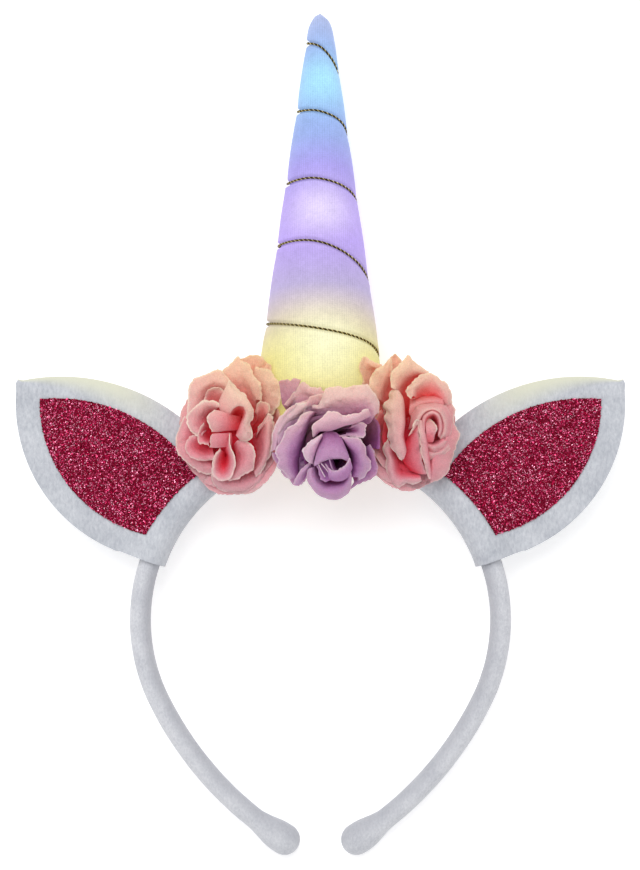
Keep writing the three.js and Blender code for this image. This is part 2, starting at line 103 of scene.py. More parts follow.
def make_piece(name, points, faces, place, material, attributes=None):
    mesh = bpy.data.meshes.new(name)
    mesh.from_pydata([place @ Vector(point) for point in points], [], faces)
    for attribute, values in (attributes or {}).items():
        layer = mesh.attributes.new(attribute, "FLOAT", "POINT")
        layer.data.foreach_set("value", values)
    mesh.materials.append(material)
    mesh.shade_smooth()
    mesh.update()
    piece = bpy.data.objects.new(name, mesh)
    bpy.context.collection.objects.link(piece)
    return piece


def settled(piece):
    """The piece with its modifiers turned into plain mesh."""
    seen = piece.evaluated_get(bpy.context.evaluated_depsgraph_get())
    mesh = bpy.data.meshes.new_from_object(seen)
    mesh.name = piece.name
    piece.modifiers.clear()
    piece.data = mesh
    return piece


def solidified(piece, thickness):
    wall = piece.modifiers.new("wall", "SOLIDIFY")
    wall.thickness = thickness * MM
    wall.offset = 0.0
    return settled(piece)


def report(piece):
    piece.data.calc_loop_triangles()
    print(piece.name, "has", len(piece.data.loop_triangles), "triangles")


# %% [markdown]
# ## Writing node trees in Python
# A node tree is only nodes and links, so a short helper that adds a node, sets its values
# and links what is handed to it keeps each material readable. Colours are written as they
# look on screen, in hexadecimal, and turned into the linear numbers that Blender mixes.


# %% Node helpers
class Tree:
    def __init__(self, tree):
        self.tree = tree

    def add(self, kind, values=None, **settings):
        node = self.tree.nodes.new(kind)
        for key, value in settings.items():
            setattr(node, key, value)
        for key, value in (values or {}).items():
            if isinstance(value, bpy.types.NodeSocket):
                self.tree.links.new(value, node.inputs[key])
            else:
                node.inputs[key].default_value = value
        return node

    def math(self, operation, a, b=0.0, c=0.0):
        node = self.add("ShaderNodeMath", {0: a, 1: b, 2: c}, operation=operation)
        return node.outputs[0]

    def ramp(self, share, stops):
        node = self.add("ShaderNodeValToRGB", {"Fac": share})
        elements = node.color_ramp.elements
        while len(elements) < len(stops):
            elements.new(0.5)
        for element, (place, colour) in zip(elements, stops):
            element.position = place
            element.color = (*linear(colour), 1)
        return node.outputs["Color"]

    def blend(self, share, a, b, mode="MIX"):
        node = self.add("ShaderNodeMix", data_type="RGBA", blend_type=mode)
        for socket, value in ((node.inputs[0], share), (node.inputs[6], a), (node.inputs[7], b)):
            if isinstance(value, bpy.types.NodeSocket):
                self.tree.links.new(value, socket)
            else:
                socket.default_value = value
        return node.outputs[2]

    def noise(self, scale, detail=2.0, vector=None, roughness=0.5):
        values = {"Scale": scale, "Detail": detail, "Roughness": roughness}
        if vector is not None:
            values["Vector"] = vector
        return self.add("ShaderNodeTexNoise", values).outputs["Fac"]

    def attribute(self, name):
        return self.add("ShaderNodeAttribute", attribute_name=name).outputs["Fac"]


def linear(colour):
    parts = [int(colour[i : i + 2], 16) / 255 for i in (1, 3, 5)]
    return [c / 12.92 if c <= 0.04045 else ((c + 0.055) / 1.055) ** 2.4 for c in parts]


def rgba(colour):
    return (*linear(colour), 1)


def new_finish(name):
    material = bpy.data.materials.new(name)
    material.use_nodes = True
    tree = Tree(material.node_tree)
    shader = material.node_tree.nodes["Principled BSDF"]
    place = tree.add("ShaderNodeTexCoord").outputs["Object"]
    return material, tree, shader, place


def set_shader(shader, **values):
    for name, value in values.items():
        shader.inputs[name.replace("_", " ")].default_value = value


def link_bump(tree, shader, height, strength, distance):
    values = {"Height": height, "Strength": strength, "Distance": distance * MM}
    bump = tree.add("ShaderNodeBump", values)
    tree.tree.links.new(bump.outputs[0], shader.inputs["Normal"])


# %% [markdown]
# ## Velvet and felt
# The hoop is padded and covered in short white velvet; the ears are cut from thicker felt.
# Both are a cool, slightly blue white. Two noises, one as fine as the nap and one as large
# as the marks of fingers, vary the colour a little, a bump roughens the surface, and sheen
# brightens it where the nap is seen from the side. A number kept on each mesh paints shade
# on the hoop's inner side, and paints warm light from the horn on an ear's upper edge.


# %% Velvet and felt finishes
def felt_finish(name, light, dark, nap, stroke, side, painted_light_and_shade_colour):
    material, tree, shader, place = new_finish(name)
    brushed = tree.add("ShaderNodeMapping", {"Vector": place, "Scale": stroke}).outputs[0]
    strokes = tree.noise(nap, 4.0, brushed, 0.7)
    specks = tree.noise(nap * 2.2, 2.0, place)
    broad = tree.noise(110.0, 3.0, place)
    share = tree.math("MULTIPLY_ADD", strokes, 0.62, tree.math("MULTIPLY", broad, 0.38))
    colour = tree.ramp(share, [(0.34, dark), (0.66, light)])
    # Painted light and shade: a colour blended in where a number kept on the mesh says, shade on
    # the hoop's inner side and warm light from the horn on an ear's upper edge.
    colour = tree.blend(tree.attribute(side), colour, rgba(painted_light_and_shade_colour))
    tree.tree.links.new(colour, shader.inputs["Base Color"])
    set_shader(shader, Roughness=0.95, Sheen_Weight=0.3, Sheen_Roughness=0.4)
    height = tree.math("MULTIPLY_ADD", specks, 0.5, strokes)
    link_bump(tree, shader, height, 0.6, 0.3)
    return material


# The hoop's last colour is painted shade for its inner side.
VELVET = felt_finish(
    "white_velvet", "#dedfe4", "#bbbdc5", 1500.0, (1.0, 0.6, 1.0), "inner_painted_shade", "#9fa1aa"
)
# The ear's last colour is painted warm light from the horn on its upper edge.
EAR_FELT = felt_finish(
    "white_felt", "#d4d7dd", "#aeb2bb", 1100.0, (1.0, 0.45, 1.0), "lit_edge", "#dfe0cc"
)

# %% [markdown]
# ## The hoop
# A plastic spring hoop hides inside the padding: an arch over the head that runs on into
# two straighter legs with round ends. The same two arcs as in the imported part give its
# middle line; a rounded oval section is swept along it, and the ends close as balls.

# %% Hoop sizes and middle line
ARCH_RADIUS = 61.6
ARCH_SWEEP = math.radians(116)
LEG_RADIUS = 117.5
LEG_SWEEP = math.radians(31.8)
HOOP_THICK = 7.2
HOOP_DEPTH = 10.0
BALL_RADIUS = 5.4
HOOP_HALF = ARCH_RADIUS * ARCH_SWEEP + LEG_RADIUS * LEG_SWEEP


def on_hoop(distance):
    side = 1 if distance >= 0 else -1
    run = abs(distance)
    arch = ARCH_RADIUS * ARCH_SWEEP
    turn = run / ARCH_RADIUS if run < arch else ARCH_SWEEP + (run - arch) / LEG_RADIUS
    out = Vector((side * math.sin(turn), math.cos(turn)))
    if run < arch:
        return out * ARCH_RADIUS, out
    centre = Vector((side * math.sin(ARCH_SWEEP), math.cos(ARCH_SWEEP)))
    return centre * (ARCH_RADIUS - LEG_RADIUS) + out * LEG_RADIUS, out


# %% Sweep the hoop
HOOP_CORNERS = 32
HOOP_STEPS = 420
EVEN_SHARE = 0.9
POLE_SHARE = 0.9995
DENT = 0.012


def hoop_half(distance):
    """Half the section's thickness and depth: a tube, swelling into a ball at its end."""
    past = (abs(distance) - HOOP_HALF) / BALL_RADIUS
    if past > 0:
        ball = BALL_RADIUS * math.sqrt(max(0, 1 - past * past))
        return ball, ball
    swell = smooth(past, -2.4, -0.3)
    return mix(HOOP_THICK / 2, BALL_RADIUS, swell), mix(HOOP_DEPTH / 2, BALL_RADIUS, swell)


def hoop_points():
    """The hoop's points, and how far each lies on its inner side, where shade is painted."""
    points, inner_painted_shade = [], []
    end = HOOP_HALF + BALL_RADIUS * POLE_SHARE
    for i in range(HOOP_STEPS + 1):
        share = 2 * i / HOOP_STEPS - 1
        if abs(share) > EVEN_SHARE:
            distance = end * math.sin(share * math.pi / 2)
        else:
            distance = share / EVEN_SHARE * end * math.sin(EVEN_SHARE * math.pi / 2)
        point, out = on_hoop(distance)
        thick, depth = hoop_half(distance)
        for k in range(HOOP_CORNERS):
            angle = around(k, HOOP_CORNERS)
            dent = noise.noise(Vector((distance * 0.11, 3 * math.cos(angle), 3 * math.sin(angle))))
            grow = 1 + DENT * dent
            side = thick * grow * math.cos(angle)
            front = depth * grow * math.sin(angle)
            points.append((point.x + out.x * side, point.y + out.y * side, front))
            # Painted shade: the inner half of the section is darkened.
            inner_painted_shade.append(0.55 * smooth(-math.cos(angle), -0.35, 0.9))
    return points, {"inner_painted_shade": inner_painted_shade}


def capped(faces, rows, columns):
    last = (rows - 1) * columns
    return faces + [tuple(range(columns))[::-1], tuple(range(last, last + columns))]


hoop_faces = capped(
    grid_faces(HOOP_STEPS + 1, HOOP_CORNERS, wrap=True), HOOP_STEPS + 1, HOOP_CORNERS
)
hoop_skin, hoop_sides = hoop_points()
hoop = make_piece("velvet_hoop", hoop_skin, hoop_faces, HOOP_FRAME, VELVET, hoop_sides)
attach(hoop, "root")
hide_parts("headband")
report(hoop)

# %% [markdown]
# ## The ears
# Each ear is one leaf of felt, folded round the hoop so that its two layers lie on each
# other. Modelling it as one sheet that runs down the front, round the hoop and up the back
# keeps the real edge, where the two layers show. The leaf lies between two arcs, and rows
# that keep to the hoop's curve near the fold straighten towards the tip.

# %% Ear sizes
EAR_FROM = math.radians(71)
EAR_TO = math.radians(32.5)
EAR_UPPER = {"centre": (-88.5, 17.6), "radius": 65.7, "foot": 42.2, "tip": 102.5}
EAR_LOWER = {"centre": (-49.6, 74.35), "radius": 54.5, "foot": 248.3, "tip": 174.5}
SLEEVE_INNER = 5.5
SLEEVE_DEPTH = 6.9
EAR_HALF = 1.5
EAR_SLOPE = 13.0
FELT_THICK = 1.3
CUT_EDGE = 0.35
FELT_WAVE = 0.25


def on_arc(arc, share, inset=0.0, foot=None, tip=None):
    angle = math.radians(mix(foot or arc["foot"], tip or arc["tip"], share))
    radius = arc["radius"] - inset
    x, y = arc["centre"]
    return Vector((x + radius * math.cos(angle), y + radius * math.sin(angle)))


def hoop_arc(share, a, b):
    angle = mix(math.atan2(a.y, a.x), math.atan2(b.y, b.x), share)
    radius = mix(a.length, b.length, share)
    return Vector((radius * math.cos(angle), radius * math.sin(angle)))


def ear_lower(v):
    return on_arc(EAR_LOWER, v)


def ear_upper(v):
    return on_arc(EAR_UPPER, v)


def on_leaf(u, v, lower, upper):
    """A place on a leaf between two edges: u across it, v from its foot to its tip."""
    a0, b0 = lower(0), upper(0)
    bend = hoop_arc(u, a0, b0) - a0.lerp(b0, u)
    return lower(v).lerp(upper(v), u) + bend * (1 - v)


def ear_half(beyond):
    return mix(SLEEVE_DEPTH, EAR_HALF, smooth(beyond, 0, EAR_SLOPE))


# %% Shape the felt of an ear
EAR_COLUMNS = 60
FOLD_ROWS = 22
SLOPE_ROWS = 14
LEAF_ROWS = 60
TIP_SHIFT = Vector((-0.45, 0.95))


def ear_row(side, row):
    """One row of the felt: row 0 at the tip of the front, and the last at the fold."""
    points = []
    for j in range(EAR_COLUMNS + 1):
        u = j / EAR_COLUMNS
        if row <= LEAF_ROWS:
            v = 1 - row / LEAF_ROWS
            flat = on_leaf(u, v, ear_lower, ear_upper)
            if row == 0:
                flat = flat.lerp((ear_lower(1) + ear_upper(1)) / 2, 0.3) + TIP_SHIFT
        else:
            turn = mix(EAR_FROM, EAR_TO, u)
            beyond = EAR_SLOPE * (1 - (row - LEAF_ROWS) / (SLOPE_ROWS + 1))
            radius = ARCH_RADIUS + beyond
            flat = Vector((-radius * math.sin(turn), radius * math.cos(turn)))
        half = ear_half(flat.length - ARCH_RADIUS)
        wave = FELT_WAVE * noise.noise(Vector((flat.x * 0.05, flat.y * 0.05, 2.0 * side)))
        points.append((flat.x, flat.y, side * half + wave * smooth(half, 6, 1.5)))
    return points


def fold_row(step):
    points = []
    for j in range(EAR_COLUMNS + 1):
        turn = mix(EAR_FROM, EAR_TO, j / EAR_COLUMNS)
        bend = math.pi * step / FOLD_ROWS
        radius = ARCH_RADIUS - SLEEVE_INNER * math.sin(bend)
        z = SLEEVE_DEPTH * math.cos(bend)
        points.append((-radius * math.sin(turn), radius * math.cos(turn), z))
    return points


def make_ear(name, node, mirror):
    front = [ear_row(1, row) for row in range(LEAF_ROWS + SLOPE_ROWS + 1)]
    fold = [fold_row(step) for step in range(FOLD_ROWS + 1)]
    back = [ear_row(-1, row) for row in range(LEAF_ROWS + SLOPE_ROWS, -1, -1)]
    rows = front + fold + back
    # Painted light: how far each point lies on the upper edge towards the horn, which is warmed
    # yellow.
    lit = []
    for row in rows:
        for j, point in enumerate(row):
            near_upper = smooth(j / EAR_COLUMNS, 0.76, 0.99)
            lit.append(near_upper * smooth(point[0], -48, -72))
    flip = -1 if mirror else 1
    points = [(flip * x, y, z) for row in rows for x, y, z in row]
    faces = grid_faces(len(rows), EAR_COLUMNS + 1)
    if not mirror:
        faces = [face[::-1] for face in faces]
    ear = make_piece(name, points, faces, HOOP_FRAME, EAR_FELT, {"lit_edge": lit})
    wall = ear.modifiers.new("felt", "SOLIDIFY")
    wall.thickness = FELT_THICK * MM
    wall.offset = -1
    wall.use_quality_normals = True
    soften = ear.modifiers.new("cut edge", "BEVEL")
    soften.width = CUT_EDGE * MM
    soften.segments = 2
    soften.limit_method = "ANGLE"
    soften.angle_limit = math.radians(50)
    settled(ear)
    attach(ear, "root")
    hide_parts(node)
    report(ear)
    return ear


ears = [make_ear("felt_ear_left", "ear_left", False), make_ear("felt_ear_right", "ear_right", True)]

# %% [markdown]
# ## Glitter fronts
# The front of each ear is glitter fabric: a dark crimson ground covered in tiny flat
# flakes that lie at all angles, so that a few catch the light at any moment. Painted dots
# would never sparkle when the camera moves, so the flakes are real. Geometry Nodes scatter
# six-sided flakes over the panel with a fixed seed and give each one its own tone.

# %% Glitter finishes
def flake_finish():
    material, tree, shader, place = new_finish("magenta_flakes")
    tone = tree.attribute("flake_tone")
    stops = [(0.0, "#5e0012"), (0.38, "#9c0a34"), (0.62, "#d0265e"), (0.8, "#f86a9a")]
    stops += [(0.92, "#ff9cc0"), (1.0, "#ffc8da")]
    tree.tree.links.new(tree.ramp(tone, stops), shader.inputs["Base Color"])
    rough = tree.math("MULTIPLY_ADD", tree.noise(4000.0, 1.0, place), 0.3, 0.25)
    tree.tree.links.new(rough, shader.inputs["Roughness"])
    set_shader(shader, Metallic=1.0)
    return material


def glitter_ground_finish():
    material, tree, shader, place = new_finish("crimson_ground")
    grain = tree.noise(3000.0, 3.0, place)
    colour = tree.ramp(grain, [(0.3, "#40000e"), (0.7, "#8a062c")])
    tree.tree.links.new(colour, shader.inputs["Base Color"])
    set_shader(shader, Roughness=0.8, Specular_IOR_Level=0.15)
    link_bump(tree, shader, grain, 0.8, 0.2)
    return material


FLAKES = flake_finish()
GLITTER_GROUND = glitter_ground_finish()


# %% The tree that scatters flakes
def flake_tree():
    group = bpy.data.node_groups.new("scatter flakes", "GeometryNodeTree")
    add_socket = group.interface.new_socket
    add_socket("Panel", in_out="INPUT", socket_type="NodeSocketGeometry")
    add_socket("Flakes per square metre", in_out="INPUT", socket_type="NodeSocketFloat")
    add_socket("Flake radius", in_out="INPUT", socket_type="NodeSocketFloat")
    add_socket("Seed", in_out="INPUT", socket_type="NodeSocketInt")
    add_socket("Glittered panel", in_out="OUTPUT", socket_type="NodeSocketGeometry")
    tree = Tree(group)
    given = tree.add("NodeGroupInput").outputs
    spread = tree.add(
        "GeometryNodeDistributePointsOnFaces",
        {"Mesh": given[0], "Density": given[1], "Seed": given[3]},
        distribute_method="RANDOM",
    )
    tilt = tree.add("FunctionNodeRandomValue", {"Seed": given[3]}, data_type="FLOAT_VECTOR")
    tilt.inputs[0].default_value = (-0.65, -0.65, 0.0)
    tilt.inputs[1].default_value = (0.65, 0.65, 3.0)
    turned = tree.add(
        "FunctionNodeRotateRotation",
        {0: spread.outputs["Rotation"], 1: tilt.outputs[0]},
        rotation_space="LOCAL",
    )
    flake = tree.add("GeometryNodeMeshCircle", {"Radius": given[2]}, fill_type="NGON")
    flake.inputs["Vertices"].default_value = 6
    size = tree.add("FunctionNodeRandomValue", {2: 0.7, 3: 1.2, "Seed": given[3]})
    lain = tree.add(
        "GeometryNodeInstanceOnPoints",
        {
            "Points": spread.outputs["Points"],
            "Instance": flake.outputs[0],
            "Rotation": turned.outputs[0],
            "Scale": size.outputs[1],
        },
    )
    tone = tree.add("FunctionNodeRandomValue", {2: 0.0, 3: 1.0})
    tone.inputs["Seed"].default_value = 11
    toned = tree.add(
        "GeometryNodeStoreNamedAttribute",
        {"Geometry": lain.outputs[0], "Name": "flake_tone", "Value": tone.outputs[1]},
        data_type="FLOAT",
        domain="INSTANCE",
    )
    real = tree.add("GeometryNodeRealizeInstances", {"Geometry": toned.outputs[0]})
    painted = tree.add("GeometryNodeSetMaterial", {"Geometry": real.outputs[0], "Material": FLAKES})
    ground = tree.add("GeometryNodeSetMaterial", {"Geometry": given[0], "Material": GLITTER_GROUND})
    both = tree.add("GeometryNodeJoinGeometry")
    for part in (painted, ground):
        group.links.new(part.outputs[0], both.inputs[0])
    tree.add("NodeGroupOutput", {0: both.outputs[0]})
    return group


def run_tree(piece, group, **values):
    """Run a tree on a piece, with its named inputs set, and keep the plain mesh."""
    modifier = piece.modifiers.new("made by nodes", "NODES")
    modifier.node_group = group
    wanted = {name.replace("_", " ").lower(): value for name, value in values.items()}
    for item in group.interface.items_tree:
        if item.in_out == "INPUT" and item.name.lower() in wanted:
            modifier[item.identifier] = wanted[item.name.lower()]
    return settled(piece)


# %% Cut the glitter panels
PANEL_COLUMNS = 40
PANEL_ROWS = 60
PANEL_LIFT = 0.45
PANEL_LOWER = {"foot_inset": 8.5, "tip_inset": 8.3, "foot": 257.6, "tip": 178.2}
PANEL_UPPER = {"foot_inset": 9.2, "tip_inset": 7.3, "foot": 34.6, "tip": 97.3}
FLAKES_PER_SQUARE_METRE = 7.5e6
FLAKE_RADIUS = 0.3


def on_panel_edge(arc, edge, v):
    inset = mix(edge["foot_inset"], edge["tip_inset"], v)
    return on_arc(arc, v, inset, edge["foot"], edge["tip"])


def panel_lower(v):
    return on_panel_edge(EAR_LOWER, PANEL_LOWER, v)


def panel_upper(v):
    return on_panel_edge(EAR_UPPER, PANEL_UPPER, v)


def panel_points(flip):
    points = []
    for i in range(PANEL_ROWS + 1):
        for j in range(PANEL_COLUMNS + 1):
            flat = on_leaf(j / PANEL_COLUMNS, i / PANEL_ROWS, panel_lower, panel_upper)
            z = ear_half(flat.length - ARCH_RADIUS) + PANEL_LIFT
            points.append((flip * flat.x, flat.y, z))
    return points


SCATTER = flake_tree()
for side, flip, seed in (("left", 1, 3), ("right", -1, 8)):
    faces = grid_faces(PANEL_ROWS + 1, PANEL_COLUMNS + 1)
    if flip == 1:
        faces = [face[::-1] for face in faces]
    panel = make_piece("glitter_" + side, panel_points(flip), faces, HOOP_FRAME, GLITTER_GROUND)
    run_tree(
        panel,
        SCATTER,
        flakes_per_square_metre=FLAKES_PER_SQUARE_METRE,
        flake_radius=FLAKE_RADIUS * MM,
        seed=seed,
    )
    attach(panel, "root")
    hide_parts("ear_glitter_" + side)
    report(panel)

# %% [markdown]
# ## The horn
# The horn is a fabric cone, stuffed softly and lit from inside, with a cord wound round it
# that draws a shallow groove. Its skin is laid out along the cord: each row follows one
# turn of the spiral, so the grooves are sharp where the cord runs and the fabric bulges
# between. The table gives the height of each turn at the left, front and right.

# %% Horn sizes and the cord's height
HORN_LENGTH = 152.0
HORN_WIDEST = 20.3
HORN_WIDEST_AT = 24.0
HORN_HALF_ANGLE = math.radians(7.6)
HORN_FOOT_RADIUS = 14.0
HORN_FOOT_DROP = 3.0
HORN_TIP_ROUND = 7.0
GROOVE_DEPTH = 1.15
CORD_WIDTH = 1.2
CORD_FROM = 1.2
CORD_TO = 6.85
CORD_TURNS = [
    (0.994, 0.987, 0.976),
    (0.925, 0.904, 0.848),
    (0.756, 0.737, 0.703),
    (0.58, 0.566, 0.533),
    (0.429, 0.408, 0.344),
    (0.244, 0.197, 0.169),
    (0.08, 0.055, 0.02),
    (-0.06, -0.08, -0.11),
    (-0.2, -0.22, -0.25),
]
KNOTS = [(0.0, 1.0)] + [
    (n + 0.25 * (k + 1), share) for n, row in enumerate(CORD_TURNS) for k, share in enumerate(row)
]


def cord_height(turn):
    last = len(KNOTS) - 1
    i = next((k for k, knot in enumerate(KNOTS) if knot[0] > turn), last) - 1
    i = min(max(i, 0), last - 1)

    def slope(k):
        a, b = KNOTS[max(0, k - 1)], KNOTS[min(last, k + 1)]
        return (b[1] - a[1]) / (b[0] - a[0])

    a, b = KNOTS[i], KNOTS[i + 1]
    span = b[0] - a[0]
    t = (turn - a[0]) / span
    bend = (slope(i) * span - (b[1] - a[1])) * (1 - t)
    unbend = (slope(i + 1) * span - (b[1] - a[1])) * t
    return HORN_LENGTH * (mix(a[1], b[1], t) + t * (1 - t) * (bend - unbend))


def horn_radius(height):
    cone = HORN_WIDEST - (height - HORN_WIDEST_AT) * math.tan(HORN_HALF_ANGLE)
    if height < HORN_WIDEST_AT:
        up = max(0, (height + HORN_FOOT_DROP) / (HORN_WIDEST_AT + HORN_FOOT_DROP))
        return mix(HORN_FOOT_RADIUS, HORN_WIDEST, math.sin(up * math.pi / 2))
    tip = max(0, (height - HORN_LENGTH + HORN_TIP_ROUND) / HORN_TIP_ROUND)
    return cone * math.sqrt(max(0, 1 - tip * tip))


GROOVE_FADES_BELOW = 5.0


def groove(radius):
    """Depth of the cord's groove, less where the horn is thin."""
    return GROOVE_DEPTH * min(1, radius / GROOVE_FADES_BELOW)


print("the cord starts", round(cord_height(CORD_FROM), 1), "mm up the horn")

# %% [markdown]
# ### Lit fabric
# Light inside the horn changes from warm yellow at the foot through lilac to blue at the
# tip, with three brighter places where the little lamps sit behind the cloth. The fabric
# has fine upright ribs. Colour, glow and ribs all follow two numbers kept on the mesh: the
# height above the seat, and the distance round the cone from the middle of its front.

# %% Horn finish
HORN_COLOURS = [
    (0.0, "#f2e58c"),
    (0.14, "#f7ee92"),
    (0.185, "#f0e6a6"),
    (0.225, "#e8dabc"),
    (0.26, "#dccdd0"),
    (0.31, "#c6b8e6"),
    (0.42, "#c2a8fe"),
    (0.52, "#c0a8fc"),
    (0.6, "#b4a8fa"),
    (0.68, "#a4baf8"),
    (0.8, "#9cc2fc"),
    (0.9, "#a4c0fa"),
    (1.0, "#bcc8f0"),
]
LAMPS = [
    (1.5, 24.0, 16.0, "#ffffdc", 13.0),
    (0.0, 74.0, 11.0, "#f0e4ff", 10.0),
    (0.5, 124.0, 6.0, "#acecff", 10.0),
]
RIB_PITCH = 0.85
COURSE_PITCH = 0.7
CLOTH_GLOW = 0.42
LAMP_GLOW = 0.16


def horn_finish():
    material, tree, shader, place = new_finish("lit_horn_fabric")
    height = tree.attribute("height")
    run = tree.attribute("run")
    colour = tree.ramp(height, HORN_COLOURS)
    glow_share = 0.0
    for x, up, front, lamp_colour, reach in LAMPS:
        centre = HORN_FRAME @ Vector((x, up, front))
        away = tree.add("ShaderNodeVectorMath", {0: place, 1: centre}, operation="DISTANCE")
        falloff = tree.math("DIVIDE", away.outputs["Value"], reach * MM)
        squared = tree.math("MULTIPLY", falloff, falloff)
        share = tree.math("POWER", 2.718, tree.math("MULTIPLY", squared, -1.0))
        colour = tree.blend(tree.math("MULTIPLY", share, 0.8), colour, rgba(lamp_colour))
        glow_share = tree.math("ADD", glow_share, share)
    rib = tree.math("SINE", tree.math("MULTIPLY", run, 2 * math.pi / RIB_PITCH))
    rib = tree.math("MULTIPLY_ADD", rib, 0.5, 0.5)
    courses = 2 * math.pi * HORN_LENGTH / COURSE_PITCH
    course = tree.math("SINE", tree.math("MULTIPLY", height, courses))
    knit = tree.math("ADD", rib, tree.math("MULTIPLY", tree.math("MULTIPLY", course, rib), 0.35))
    cloudy = tree.noise(120.0, 3.0, place)
    speckle = tree.noise(1900.0, 3.0, place)
    wisps = tree.noise(420.0, 6.0, place, 0.75)
    shade = tree.math("MULTIPLY_ADD", knit, 0.09, 0.9)
    shade = tree.math("ADD", shade, tree.math("MULTIPLY_ADD", cloudy, 0.2, -0.1))
    shade = tree.math("ADD", shade, tree.math("MULTIPLY_ADD", speckle, 0.3, -0.15))
    shade = tree.math("ADD", shade, tree.math("MULTIPLY_ADD", wisps, 0.34, -0.17))
    grey = tree.add("ShaderNodeCombineColor", {0: shade, 1: shade, 2: shade}).outputs[0]
    cloth = tree.blend(1.0, colour, grey, "MULTIPLY")
    unlit = tree.blend(1.0, cloth, (0.5, 0.5, 0.5, 1), "MULTIPLY")
    tree.tree.links.new(unlit, shader.inputs["Base Color"])
    tree.tree.links.new(cloth, shader.inputs["Emission Color"])
    strength = tree.math("MULTIPLY_ADD", glow_share, LAMP_GLOW, CLOTH_GLOW)
    tree.tree.links.new(strength, shader.inputs["Emission Strength"])
    set_shader(shader, Roughness=0.9, Sheen_Weight=0.15)
    link_bump(tree, shader, knit, 0.35, 0.12)
    return material


HORN_FABRIC = horn_finish()

# %% Lay out the horn's skin along the cord
HORN_STEPS = 120
HORN_TURNS = 7
HORN_ON = [0, 0.012, 0.024, 0.036, 0.05, 0.065, 0.085, 0.11, 0.15, 0.2, 0.27, 0.35, 0.43]
HORN_ON = HORN_ON + [0.5] + [1 - on for on in HORN_ON[:0:-1]]
BULGE = 0.34
PUCKER = 0.22
PUCKER_REACH = 3.2
PUCKERS = 9.1


def horn_skin(n, on, step):
    """A point of the skin: turn n of the cord, how far on to the next, and a step round."""
    turn = n + step / HORN_STEPS
    above, below = cord_height(turn), cord_height(turn + 1)
    height = mix(above, below, on)
    plain = horn_radius(height)
    pulled = smooth(turn if on < 0.5 else turn + 1, CORD_FROM - 0.25, CORD_FROM)
    from_cord = min(above - height, height - below)
    out = (smooth(from_cord, 0.45, 1.5) - 1) * pulled + BULGE * math.sin(math.pi * on) ** 0.8
    pucker = PUCKER * math.exp(-((from_cord / PUCKER_REACH) ** 2))
    pucker *= math.sin(PUCKERS * turn * math.pi + n)
    pucker *= pulled * smooth(from_cord, 0.6, 1.6)
    radius = max(0.0, plain + (out + pucker) * groove(plain))
    angle = around(step, HORN_STEPS) - math.pi
    soft = 1 + 0.006 * noise.noise(Vector((0.07 * height, math.sin(angle), math.cos(angle))))
    return Vector((radius * soft * math.sin(angle), height, radius * soft * math.cos(angle)))


TO_HORN = (HORN_PLACE @ Matrix.Rotation(-HORN_LEAN, 4, "X")).inverted()
FROM_HORN = TO_HORN.inverted()
TABLE = 0.25


def seated(point):
    """The point moved out of the hoop that carries it, and off the table."""
    at = FROM_HORN @ point
    flat = Vector((at.x, at.y))
    if flat.length < HORN_SEAT:
        flat = flat.normalized() * HORN_SEAT
        at = Vector((flat.x, flat.y, at.z))
    world = HOOP_FRAME @ at
    if world.z < TABLE * MM:
        world.z = TABLE * MM
    return HOOP_FRAME.inverted() @ world


rows = [(n, on) for n in range(HORN_TURNS) for on in HORN_ON[:-1]] + [(HORN_TURNS, 0.0)]
skin = [[horn_skin(n, on, step) for step in range(HORN_STEPS + 1)] for n, on in rows]
columns = HORN_STEPS + 1
points = [point for row in skin for point in row]
faces = [face[::-1] for face in grid_faces(len(rows), columns)]
per_turn = len(HORN_ON) - 1
tip = 0
faces += [(tip, j, j + 1) for j in range(1, HORN_STEPS - 1)]
faces += [(HORN_STEPS - 1, (i + 1) * columns, i * columns) for i in range(per_turn)]
under = len(points)
points.append(Vector((0, skin[-1][0].y, 0)))
last = (len(rows) - 1) * columns
faces += [(under, last + j + 1, last + j) for j in range(HORN_STEPS)]
for i in range(len(rows) - 1 - per_turn, len(rows) - 1):
    faces.append((under, i * columns + HORN_STEPS, (i + 1) * columns + HORN_STEPS))
measures = {
    "height": [point.y / HORN_LENGTH for point in points],
    "run": [math.atan2(p.x, p.z) * math.hypot(p.x, p.z) for p in points],
}
horn = make_piece(
    "stuffed_horn", [seated(point) for point in points], faces, HOOP_FRAME, HORN_FABRIC, measures
)


SEAM_GAP = 0.01


def merge_doubles(piece):
    """Close seams and poles, and turn all faces outwards."""
    work = bmesh.new()
    work.from_mesh(piece.data)
    bmesh.ops.remove_doubles(work, verts=work.verts, dist=SEAM_GAP * MM)
    bmesh.ops.dissolve_degenerate(work, edges=work.edges, dist=1e-7)
    bmesh.ops.recalc_face_normals(work, faces=work.faces)
    work.to_mesh(piece.data)
    work.free()


merge_doubles(horn)
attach(horn, "root")
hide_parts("horn")
report(horn)

# %% [markdown]
# ## The gold cord
# The cord is three strands twisted on each other, one of bright gold and two darker, so
# that it looks like a fine dark line with bright dashes. A path of points follows the
# groove; Geometry Nodes turn it into a curve, tilt it steadily along its length and sweep
# three small circles along it, so that the circles wind into strands by themselves.

# %% Gold finish
def gold_finish():
    material, tree, shader, place = new_finish("gold_strands")
    fleck = tree.noise(5000.0, 2.0, place)
    bright = tree.ramp(fleck, [(0.35, "#b09a3c"), (0.5, "#e6d488"), (0.65, "#fffbe0")])
    dark = tree.ramp(fleck, [(0.3, "#2a200a"), (0.7, "#74601e")])
    colour = tree.blend(tree.attribute("dark_strand"), bright, dark)
    tree.tree.links.new(colour, shader.inputs["Base Color"])
    rough = tree.math("MULTIPLY_ADD", fleck, 0.25, 0.2)
    tree.tree.links.new(rough, shader.inputs["Roughness"])
    set_shader(shader, Metallic=0.95)
    return material


GOLD = gold_finish()


# %% The tree that twists strands
STRANDS = 3
STRAND_CORNERS = 7


